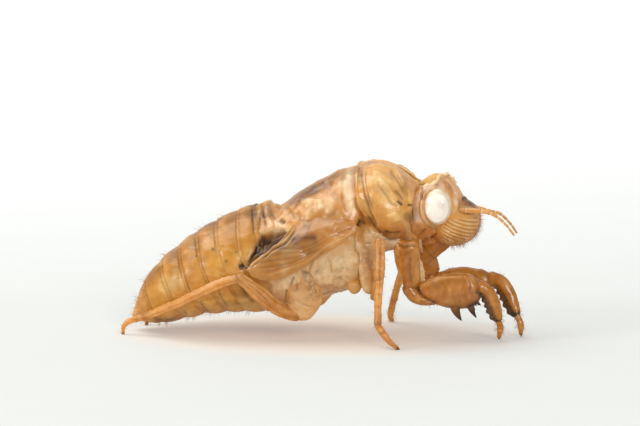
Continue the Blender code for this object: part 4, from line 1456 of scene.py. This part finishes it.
FACE_MARKS = [
    ridge(1.8, 0.18, 0.1, (459, 208), (466, 209), (478, 211)),
    # painted highlight on the fold at the feeler's root
    pale_and_highlight(1.0, 0.8, (464, 208.5), (469, 209)),
    groove(1.0, 0.10, 0.6, (459, 211.5), (466, 213), (475, 213.5)),
    mark(1.6, (460, 199), (466, 198), height=0.14, dark=0.5, dirt=0.4),
    stain_and_shade(5.0, 0.25, (463, 203), (474, 207)),
    groove(2.0, 0.1, 0.5, (432, 236), (436, 232)),
    stain_and_shade(2.5, 0.25, (436, 244), (452, 244), (466, 240)),
    mark(1.6, (461, 200), (467, 198), height=0.06, dark=0.4, dirt=0.4),
    mark(3.0, (462, 203), (470, 203), (476, 208), dark=0.25, dirt=0.45),
]


def make_face(skins):
    """The bulging face plate: curved ridges on both flanks, a smooth band between them."""
    sheet, local = ball_sheet(FACE_CENTRE, FACE_RADII, FACE_TILT, *GRIDS["face"])
    out = np.abs(local[..., 1])
    ahead = sheet.points[..., 0] - FACE_CENTRE[0]
    height = sheet.points[..., 2] - FACE_CENTRE[2]
    flank = soft_step(out, 0.75, 1.30) * soft_step(ahead, -1.05, -0.45)
    flank *= 1 - soft_step(height, 0.45, 0.75)
    bend = height + FACE_RIDGE_FALL * ahead - FACE_RIDGE_BEND * ahead ** 2
    wave = np.cos(bend * 2 * math.pi / FACE_RIDGE_PITCH)
    sheet.push(flank * FACE_RIDGE_HEIGHT * wave)
    # paler crests and darker troughs: partly the face's own stripes, partly painted highlight and
    # painted shade
    sheet.tint("dark", 0.42 * flank * (1 - soft_step(wave, -0.98, -0.4)))
    sheet.tint("pale", 0.72 * flank * soft_step(wave, 0.1, 0.8))
    sheet.tint("dark", 0.35 * soft_step(height, 0.7, 1.5))
    middle = 1 - soft_step(out, 0.4, 1.1)
    sheet.tint("dark", 0.30 * middle)
    sheet.tint("amber", 0.6 * middle)
    sheet.push(FACE_BAND_HEIGHT * middle)
    sheet.crumple(FOLDS["face"])
    sheet.apply(FACE_MARKS)
    make_piece(skins, "face_skin", "face_cast", [sheet], "face")
    under = soft_step(-height, 0.3, 1.2) * soft_step(ahead, -1.2, 0.2)
    front = soft_step(ahead, 1.2, 2.0) * soft_step(1.2 - height, 0.0, 0.6)
    tufts = [sprout(sheet, under, *CHIN_HAIRS), sprout(sheet, front, *FRONT_HAIRS)]
    make_hairs(skins, "face_hairs", tufts)


# Where the raised rim and the groove run round an eye cap, as shares of its radius, and their
# height and depth.
EYE_RIM, EYE_RIM_HEIGHT = 0.82, 0.05
EYE_GROOVE, EYE_GROOVE_DEPTH = 0.93, 0.04


def make_eyes(skins):
    """The clear caps that covered the eyes, each with a fine raised rim and a groove."""
    for side_name, side in SIDES.items():
        centre = EYE_CENTRE * (1, side, 1)
        sheet, local = ball_sheet(centre, EYE_RADII, 0.0, *GRIDS["eye"])
        reach = np.hypot(local[..., 0] / EYE_RADII[0], local[..., 2] / EYE_RADII[2])
        sheet.push(EYE_RIM_HEIGHT * bell(reach - EYE_RIM, 0.07)
                   - EYE_GROOVE_DEPTH * bell(reach - EYE_GROOVE, 0.06))
        sheet.tint("amber", 0.45 * soft_step(reach, 0.76, 0.84) + 0.4 * soft_step(reach, 0.92, 0.99))
        sheet.tint("dark", 0.45 * bell(reach - 0.80, 0.03) + 0.30 * bell(reach - 0.97, 0.03))
        sheet.crumple(FOLDS["eye"])
        hollow = soft_step(waves(sheet.points, 0.9, 85), 0.1, 1.3)
        sheet.tint("dark", 0.30 * hollow * (1 - soft_step(reach, 0.7, 0.85)))
        make_piece(skins, "eye_cap", f"eye_cap_{side_name}", [sheet], f"eye_{side_name}")


BEAK_GROOVE_DEPTH = 0.10


def make_beak(skins):
    """The sucking beak, folded back under the head, with the groove down its front."""
    sheet, share, angle = limb_sheet(BEAK, 1, *GRIDS["beak"], ridges=2, ridge_height=0.05)
    sheet.push(-BEAK_GROOVE_DEPTH * bell(np.cos(angle / 2), 0.10))
    sheet.tint("amber", 0.9)
    sheet.tint("dark", 0.2 + 0.4 * soft_step(share, 0.75, 1.0) + 0.3 * bell(share - 0.45, 0.02))
    sheet.crumple(FOLDS["beak"])
    make_piece(skins, "head_skin", "beak_cast", [sheet], "beak")


FEELER_RINGS = (0.20, 0.42, 0.55, 0.66, 0.76, 0.86)     # places of the pale rings
FEELER_RING_DEPTH = 0.05
FEELER_RIM_HEIGHT = 0.02  # height of the dark rim before each ring


def make_antennae(skins):
    """Two feelers, each in joints with pale rings between them."""
    for side_name, side in SIDES.items():
        sheet, share, _ = limb_sheet(ANTENNAE[side_name], side, *GRIDS["antenna"], rim=0.0)
        for ring in FEELER_RINGS:
            sheet.push(FEELER_RIM_HEIGHT * bell(share - ring + 0.02, 0.01)
                       - FEELER_RING_DEPTH * bell(share - ring, 0.008))
            sheet.tint("pale", 0.9 * bell(share - ring, 0.010))
            sheet.tint("dark", 0.4 * bell(share - ring + 0.022, 0.006))
        make_piece(skins, "antenna_skin", f"antenna_cast_{side_name}", [sheet],
                   f"antenna_{side_name}")


# ---------------------------------------------------------------------------------------------
# Wing pads
# ---------------------------------------------------------------------------------------------

FOREWING_MARKS = [
    # a small hole, with painted shade inside it
    mark(2.6, (358, 226), (362, 221), height=-0.30, hole=1.0),
    ridge(0.7, 0.08, 0.9, (295, 228), (289, 236), (283, 242), (273, 247), (262, 256), (248, 267)),
    groove(0.6, 0.06, 0.6, (296.5, 230.5), (290.5, 238), (284.5, 244), (274.5, 249), (263.5, 258),
           (249, 268.5)),
    ridge(0.7, 0.06, 0.7, (298, 232), (292, 240), (286, 246), (276, 251), (265, 259)),
    # painted shade under the pad's upper edge
    stain_and_shade(3.8, 0.75, (290, 241), (302, 238), (318, 238)),
    stain_and_shade(4.0, 0.45, (302, 225), (311, 228)),
    groove(1.0, 0.05, 0.35, (257, 255), (274, 249), (300, 248), (313, 244), (327, 236)),
    groove(1.0, 0.04, 0.3, (256, 259), (276, 254), (300, 252), (316, 246), (330, 238)),
    groove(1.0, 0.04, 0.28, (255, 263), (276, 260), (300, 256), (318, 248)),
    groove(1.0, 0.05, 0.35, (257, 268), (274, 266), (287, 264), (300, 259), (309, 254), (322, 249)),
    groove(1.0, 0.04, 0.25, (262, 273), (280, 269), (296, 264)),
    stain_and_shade(4.0, 0.3, (266, 250), (284, 246), (300, 244)),
    ridge(1.4, 0.08, 0.25, (362, 227), (355, 231), (348, 236), (335, 242), (322, 250), (314, 257),
          (305, 263), (295, 267), (283, 271), (266, 277)),
    groove(1.2, 0.06, 0.25, (352, 228), (340, 233), (330, 238)),
    pale_and_highlight(3.0, 0.3, (318, 222), (334, 226), (350, 226)),
]

PAD_ROOT_SUNK = 0.85      # how far the upper edge of the fore wing pad lies in the flank


def make_wing_pads(skins):
    """Wing pads of both sides: the fore ones veined and creased, the hind ones plain and painted
    dark, painted shade of the hollow they lie in.
    """
    for side_name, side in SIDES.items():
        sheet, place, angle = leaf_sheet(FOREWING_PAD, side, *GRIDS["forewing_pad"])
        grown_on = 1 - soft_step(place, 4.0, 5.0)
        sheet.points[..., 1] -= side * PAD_ROOT_SUNK * grown_on * soft_step(np.cos(angle), 0.0, 0.9)
        sheet.crumple(FOLDS["forewing_pad"])
        sheet.tint("amber", 0.35)
        sheet.tint("dark", 0.10 * soft_step(place, 2.2, 3.6))
        sheet.apply(FOREWING_MARKS)
        make_piece(skins, "wing_pad_skin", f"forewing_pad_cast_{side_name}", [sheet],
                   f"forewing_pad_{side_name}")
        sheet, place, _ = leaf_sheet(HINDWING_PAD, side, *GRIDS["hindwing_pad"])
        sheet.crumple(FOLDS["hindwing_pad"])
        # painted shade: the hind pads are painted dark, darkest at their roots, for the hollow they
        # lie in
        sheet.tint("dark", 0.9)
        sheet.tint("hole", 0.25 + 0.25 * (1 - soft_step(place, 0.0, 1.5)))
        make_piece(skins, "wing_pad_skin", f"hindwing_pad_cast_{side_name}", [sheet],
                   f"hindwing_pad_{side_name}")


# ---------------------------------------------------------------------------------------------
# Legs
# ---------------------------------------------------------------------------------------------

LEG_SLOTS = {"fore": "digging_leg_skin", "mid": "walking_leg_skin", "hind": "walking_leg_skin"}
COXA_TINTS = {"fore": {"amber": 0.3}, "mid": {"pale": 0.75}, "hind": {"pale": 0.45}}
LEG_HAIRS = {"fore": (60, 0.42), "mid": (55, 0.50), "hind": (36, 0.34)}   # a segment, length
HAIR_DRAW = (0, 0, -0.2)  # the way the hairs of the legs are drawn
LEG_SEED = 200            # seed of the fore legs,
LEG_SEED_STEP = 20        # and how much further on that of the next pair is

# How the fore femur and tibia, the other smooth segments and the feet differ from the ribbed
# segments of the walking legs.
DIGGER = {"ridges": 2, "ridge_height": 0.02, "grooves": 0.0, "rough": 0.4}
SMOOTH = {"ridges": 2, "ridge_height": 0.03, "grooves": 0.1, "rough": 0.4}
FOOT = {"ridges": 0, "ridge_height": 0.0, "grooves": 0.0}

FEMUR_SPINES = [(0.58, 0.62, 1.95), (0.87, 0.50, 2.05)]   # place, base radius, length
SPINE_LEAN = 0.32         # how far a spine leans forward for each unit down
SPINE_SUNK = 0.85         # how deep its root lies in the femur
COMB_PLACES = (0.98, 1.03, 1.08)    # the small teeth before the knee
COMB_FAN = 4              # how fast their lean grows
COMB_FAN_START = 0.9      # from this place on
COMB_RADIUS = 0.24
COMB_LENGTH = 0.75
COMB_SUNK = 0.25
TIBIA_TEETH = 7
TIBIA_TOOTH_HEIGHT = 0.16

CLAW_TAPER = 0.75         # how fast spines and claws narrow
CLAW_TIP = 0.015          # and the radius left at their tips
CLAW_LENGTH = 0.42
CLAW_RADIUS = 0.10
CLAW_SPREAD = 0.35
CLAW_BEND = (0.02, 0.0, 0.05)
CLAW_LOWEST = 0.03        # the middle of a claw's tip isn't below this height

FORE_LEG_MARKS = [
    ridge(0.8, 0.05, 0.8, (424, 284), (430, 279.5), (437, 277.5), (450, 276.5), (463, 277)),
    mark(1.6, (472, 277), (474, 284), (474, 292), pale=0.2, amber=0.5),
    groove(0.9, 0.05, 0.4, (469, 279), (470, 286), (470, 294)),
    groove(1.2, 0.10, 0.7, (418, 286), (420, 293), (427, 299), (436, 303)),
    ridge(1.2, 0.04, 0.4, (396, 247), (396, 262), (401, 278)),
    groove(1.3, 0.07, 0.4, (411, 252), (410, 262), (410, 276), (413, 285)),
    groove(1.3, 0.12, 0.5, (397, 243), (404, 247), (412, 245), (419, 248)),
    mark(1.2, (400, 237), (407, 240), (417, 238), height=-0.10, dark=0.4, dirt=0.4),
    ridge(2.6, 0.10, 0.4, (413, 241), (417, 250), (418, 259)),
    pale_and_highlight(3.0, 0.45, (416, 262), (418, 272), (417, 282)),
    mark(3, (446, 307), (456, 310), (464, 311), dirt=0.9, dark=0.3),
    mark(3, (466, 309), (473, 305), (478, 301), dirt=0.7, dark=0.6),
    stain_and_shade(3, 0.22, (432, 286), (446, 282), (462, 282)),
    stain_and_shade(4, 0.20, (440, 296), (456, 298), (470, 294)),
    mark(4, (455, 285), (464, 286), amber=0.9),
    pale_and_highlight(0.9, 0.5, (423, 288), (432, 282), (442, 280)),
    mark(3, (475, 290), (481, 296), dark=0.7, dirt=0.4),
    mark(3.5, (489, 306), (493, 317), dirt=0.8),
]
MID_LEG_MARKS = [
    groove(0.8, 0.05, 0.5, (379.5, 244), (379.6, 262), (379, 284)),
    pale_and_highlight(0.8, 0.4, (376.5, 246), (376.4, 262), (376, 282)),
    mark(2.6, (383.5, 310), (381.5, 318), (384, 327), dirt=1.0),
    stain_and_shade(1.0, 0.7, (378, 294)),
    groove(1.0, 0.08, 0.4, (368, 262), (372, 272), (373, 284)),
    mark(4, (362, 290), (370, 297), amber=0.6),
]
HIND_LEG_MARKS = [
    mark(7, (308, 283), (316, 292), (314, 303), dirt=1.0),
    mark(5, (286, 296), (292, 306), dirt=0.8),
    groove(1.3, 0.12, 0.6, (303, 272), (306, 279), (310, 284)),
    groove(1.2, 0.10, 0.5, (295, 280), (297, 286), (295, 293)),
    groove(1.2, 0.06, 0.25, (297, 300), (306, 306), (313, 306)),
    ridge(3.5, 0.12, 0.3, (300, 284), (301, 296), (298, 310)),
    mark(3, (283, 318), (292, 317), (300, 316), amber=0.9),
    # painted glint at the hind knee
    pale_and_highlight(1.6, 0.9, (243, 275), (247, 277), (253, 281)),
    pale_and_highlight(1.0, 0.5, (253, 279), (264, 288), (276, 301)),
    groove(1.0, 0.06, 0.5, (246, 282), (258, 292), (272, 306)),
]
LEG_MARKS = {"fore": FORE_LEG_MARKS, "mid": MID_LEG_MARKS, "hind": HIND_LEG_MARKS}


def joint_shade(sheet, share, amount):
    """Darken the two ends of a segment, where it meets its neighbours."""
    sheet.tint("dark", amount * (bell(share, 0.07) + bell(share - 1, 0.07)))


def plain_segment(rows, side, seed, ridges=5, ridge_height=0.07, grooves=0.30, rough=1.0):
    """A leg segment with lengthwise ridges, darker grooves and an uneven skin."""
    along, around = LEG_GRID
    sheet, share, angle = limb_sheet(rows, side, along * len(rows), around, ridges, ridge_height)
    # folds with painted highlight on the fold lines and painted shade in the hollows
    sheet.crumple([(1.4, 0.035 * rough, seed, 0.35), (0.5, 0.012 * rough, seed + 2, 0.2)])
    sheet.tint("dark", grooves * soft_step(-np.cos(ridges * angle), 0.4, 1.0))
    joint_shade(sheet, share, 0.35)
    return sheet, share, angle


def claw(start, end, radius, bend, count, columns):
    """A curved spine or claw that tapers to a point, from start to end."""
    start, end = np.array(start, dtype=float), np.array(end, dtype=float)
    share = np.linspace(0, 1, count)[:, None]
    centre = start + (end - start) * share + np.array(bend) * np.sin(math.pi * share)
    ahead = unit(np.gradient(centre, axis=0))
    across = unit(np.cross(ahead, (0.0, 1.0, 0.02)))
    other = np.cross(ahead, across)
    width = radius * (1 - share) ** CLAW_TAPER + CLAW_TIP
    angle = np.linspace(0, 2 * math.pi, columns, endpoint=False)[None, :]
    points = (centre[:, None] + across[:, None] * (width * np.cos(angle))[..., None]
              + other[:, None] * (width * np.sin(angle))[..., None])
    sheet = Sheet(points, closed=True, capped=True)
    sheet.tint("dark", 0.25 + 0.75 * soft_step(share, 0.1, 0.8))
    return sheet


def spine(rows, side, place, radius, length, lean, sunk):
    """A tooth under the femur, bowed towards the tail between its root and its tip."""
    x, out, z, wide, _ = smooth_rows(rows, [place * (len(rows) - 1)])[0]
    top = np.array((x, side * out, z - wide + sunk))
    tip = top + np.array((lean, 0.0, -1.0)) * length
    return claw(top, tip, radius, (-0.10 * length, 0.0, -0.03 * length), *GRIDS["spine"])


def digging_femur(rows, side, seed):
    """The swollen foreleg femur with its two spines and the small teeth before the knee."""
    sheet, share, angle = plain_segment(rows, side, seed, **DIGGER)
    lower = soft_step(np.cos(angle), 0.3, 0.95)
    sheet.tint("dark", 0.35 * lower * soft_step(share, 0.35, 0.7))
    sheets = [sheet]
    for place, radius, length in FEMUR_SPINES:
        sheets.append(spine(rows, side, place, radius, length, SPINE_LEAN, SPINE_SUNK))
    for place in COMB_PLACES:
        lean = COMB_FAN * (place - COMB_FAN_START)
        sheets.append(spine(rows, side, min(place, 1.0), COMB_RADIUS, COMB_LENGTH, lean,
                            COMB_SUNK))
    return sheets


def digging_tibia(rows, side, seed):
    """The curved foreleg tibia: a smooth amber outer edge, dark teeth along the inner one."""
    sheet, share, angle = plain_segment(rows, side, seed, **DIGGER)
    inner = soft_step(np.cos(angle), 0.35, 0.85)
    toothed = soft_step(share, 0.18, 0.30) * (1 - soft_step(share, 0.90, 0.97))
    teeth = 0.5 + 0.5 * np.cos(share * 2 * math.pi * TIBIA_TEETH)
    sheet.push(TIBIA_TOOTH_HEIGHT * inner * toothed * teeth)
    shaded = soft_step(np.cos(angle) + 0.5 * share, 0.15, 0.75)
    sheet.tint("dark", 0.9 * shaded * soft_step(share, 0.12, 0.35))
    sheet.tint("dirt", 0.5 * shaded * soft_step(share, 0.4, 0.7))
    sheet.tint("dark", 0.55 * soft_step(share, 0.88, 0.97))
    sheet.tint("amber", 0.6 * (1 - inner))
    return [sheet]


def clawed_tarsus(rows, side, seed):
    """A foot, darker at a joint and at its end, with a pair of small dark claws."""
    sheet, share, _ = plain_segment(rows, side, seed, **FOOT)
    sheet.tint("amber", 0.5)
    sheet.tint("dark", 0.3 * bell(share - 0.35, 0.03) + 0.5 * soft_step(share, 0.9, 1.0))
    end = np.array(rows[-1][:3]) * (1, side, 1)
    heading = unit(end - np.array(rows[-2][:3]) * (1, side, 1))
    sheets = [sheet]
    for spread in (-CLAW_SPREAD, CLAW_SPREAD):
        tip = end + (heading + (0.0, spread, 0.0)) * CLAW_LENGTH
        tip[2] = max(tip[2], CLAW_LOWEST)
        root = end - CLAW_RADIUS * heading
        sheets.append(claw(root, tip, CLAW_RADIUS, CLAW_BEND, *GRIDS["claw"]))
    return sheets


def leg_segment(pair, segment, rows, side, seed):
    """The sheets of one segment of a leg."""
    if segment == "tarsus":
        return clawed_tarsus(rows, side, seed)
    if pair == "fore" and segment == "femur":
        return digging_femur(rows, side, seed)
    if pair == "fore" and segment == "tibia":
        return digging_tibia(rows, side, seed)
    if pair == "fore" or segment == "coxa":
        return [plain_segment(rows, side, seed, **SMOOTH)[0]]
    return [plain_segment(rows, side, seed)[0]]


def make_leg(skins, pair, side_name, seed):
    """All segments of one leg, each a piece for its CAD node, and the leg's hairs."""
    slot = LEG_SLOTS[pair]
    tufts = []
    for number, (segment, rows) in enumerate(LEG_SETS[pair][side_name].items()):
        sheets = leg_segment(pair, segment, rows, SIDES[side_name], seed + number)
        if segment == "coxa":
            for name, amount in COXA_TINTS[pair].items():
                sheets[0].tint(name, amount)
        sheets[0].apply(LEG_MARKS[pair])
        count, length = LEG_HAIRS[pair]
        even = np.ones(sheets[0].points.shape[:2])
        tufts.append(sprout(sheets[0], even, count, length, HAIR_DRAW, seed + number))
        make_piece(skins, slot, f"{pair}_{segment}_cast_{side_name}", sheets,
                   f"{pair}_{segment}_{side_name}")
    make_hairs(skins, f"{pair}_leg_hairs_{side_name}", tufts)


def make_legs(skins):
    """All six legs."""
    for number, pair in enumerate(LEG_SETS):
        for side_name in SIDES:
            make_leg(skins, pair, side_name, LEG_SEED + LEG_SEED_STEP * number)


# ---------------------------------------------------------------------------------------------
# Stage, light and camera
# ---------------------------------------------------------------------------------------------

# The paper sweep, in metres.
FLOOR_PLACES = (-1.0, -0.3, 0.1)
SWEEP_START = 0.30        # how far behind the object the floor starts to rise
SWEEP_RADIUS = 0.35
SWEEP_TOP = 1.6
SWEEP_HALF_WIDTH = 1.2
SWEEP_STEPS = 16          # points round the bend
PAPER_TONES = ((167, 169, 166), (171, 173, 169))
# the paper is painted lighter towards the back: painted light standing in for a brighter backdrop
BACKDROP_PAINTED_LIGHT = (212, 213, 212)
PAPER_GLOW = 0.24         # the paper glows faintly by itself: painted light that keeps the shadows pale
PAINTED_WARM_REACH = {"X": 0.020, "Y": 0.013}    # how far the painted warm light under the shell reaches, m
# painted warm light on the paper under the shell
PAINTED_WARM_LIGHT = (196, 166, 132)


def make_stage():
    """A plain pale sweep: flat under the object, rising behind it."""
    profile = [(y, 0.0) for y in FLOOR_PLACES]
    for angle in np.linspace(0, math.pi / 2, SWEEP_STEPS):
        profile.append((SWEEP_START + SWEEP_RADIUS * math.sin(angle),
                        SWEEP_RADIUS * (1 - math.cos(angle))))
    profile.append((SWEEP_START + SWEEP_RADIUS, SWEEP_TOP))
    vertices = []
    for y, z in profile:
        vertices += [(-SWEEP_HALF_WIDTH, y, z), (SWEEP_HALF_WIDTH, y, z)]
    faces = [(2 * k, 2 * k + 1, 2 * k + 3, 2 * k + 2) for k in range(len(profile) - 1)]
    mesh = bpy.data.meshes.new("sweep")
    mesh.from_pydata(vertices, [], faces)
    mesh.shade_smooth()
    mesh.materials.append(paper_material())
    sweep = bpy.data.objects.new("sweep", mesh)
    bpy.context.scene.collection.objects.link(sweep)


def paper_material():
    """Plain pale paper with a faint painted glow, painted warm light under the shell where light
    through it would fall, and painted lighter towards the back.
    """
    graph = Graph("sweep_paper")
    shader = graph.nodes.new("ShaderNodeBsdfPrincipled")
    tone = graph.blend(graph.noise(14.0, 3.0), *(linear(*tone) for tone in PAPER_TONES))
    split = graph.nodes.new("ShaderNodeSeparateXYZ")
    graph.put(split.inputs["Vector"], graph.coordinates)
    # painted light: the paper grows lighter towards the back
    far = graph.ranged(split.outputs["Y"], 0.01, SWEEP_START)
    # painted warm light on the paper under the shell
    reach = [graph.math("MULTIPLY", split.outputs[axis], 1 / PAINTED_WARM_REACH[axis]) for axis in "XY"]
    spread = graph.math("ADD", *(graph.math("MULTIPLY", part, part) for part in reach))
    painted_warmth = graph.ranged(spread, 0.0, 1.0, 0.75, 0.0)
    tone = graph.blend(painted_warmth, tone, linear(*PAINTED_WARM_LIGHT))
    graph.put(shader.inputs["Base Color"], graph.blend(far, tone, linear(*BACKDROP_PAINTED_LIGHT)))
    shader.inputs["Roughness"].default_value = 0.75
    shader.inputs["Specular IOR Level"].default_value = 0.2
    shader.inputs["Emission Color"].default_value = (1.0, 1.0, 1.0, 1.0)
    shader.inputs["Emission Strength"].default_value = PAPER_GLOW
    return graph.finish(shader.outputs["BSDF"])


def aim(item, place, target):
    """Put an object at a place in metres, looking at the target."""
    item.location = tuple(place)
    direction = np.array(target) - np.array(place)
    yaw = math.atan2(direction[1], direction[0])
    level = math.hypot(direction[0], direction[1])
    pitch = math.atan2(direction[2], level)
    item.rotation_euler = (math.pi / 2 + pitch, 0.0, yaw - math.pi / 2)


# Place in metres, width in metres and power of each light.
LIGHTS = {
    "overhead": ((-0.30, 0.05, 0.60), 0.60, 4.9),
    "front": ((0.26, -0.50, 0.24), 0.18, 1.8),
    "tail_side": ((-0.50, -0.32, 0.20), 0.18, 1.7),
}
LIGHT_TARGET = (0.0, 0.0, 0.01)
WORLD_STRENGTH = 0.40


def area_light(name, place, size, power):
    """A soft square light that looks at the object."""
    light = bpy.data.lights.new(name, "AREA")
    light.size = size
    light.energy = power
    item = bpy.data.objects.new(name, light)
    bpy.context.scene.collection.objects.link(item)
    aim(item, place, LIGHT_TARGET)


def make_light():
    """Plain soft studio light: one big light overhead, weaker ones low in front and at the
    tail's side, and a faint white all round."""
    for name, settings in LIGHTS.items():
        area_light(name, *settings)
    world = bpy.data.worlds.new("white_studio")
    world.use_nodes = True
    background = world.node_tree.nodes["Background"]
    background.inputs["Color"].default_value = (1.0, 1.0, 1.0, 1.0)
    background.inputs["Strength"].default_value = WORLD_STRENGTH
    bpy.context.scene.world = world
    bpy.context.scene.view_settings.view_transform = "Standard"
    bpy.context.scene.view_settings.look = "None"


def make_camera():
    """The camera at the photograph's viewing angle, framing the same width."""
    camera = bpy.data.cameras.new("camera")
    camera.sensor_width = SENSOR_WIDTH
    camera.lens = SENSOR_WIDTH * VIEW_DISTANCE / (PICTURE_WIDTH * MM_PER_PIXEL)
    camera.clip_start = 0.01
    item = bpy.data.objects.new("camera", camera)
    bpy.context.scene.collection.objects.link(item)
    aim(item, MarksView.eye * MM, VIEW_TARGET * MM)
    bpy.context.scene.camera = item


def build():
    """The whole scene."""
    skins = make_skins()
    make_abdomen(skins)
    make_thorax(skins)
    make_thorax_plates(skins)
    make_pronotum(skins)
    make_head(skins)
    make_face(skins)
    make_eyes(skins)
    make_beak(skins)
    make_antennae(skins)
    make_wing_pads(skins)
    make_legs(skins)
    make_stage()
    make_light()
    make_camera()


build()
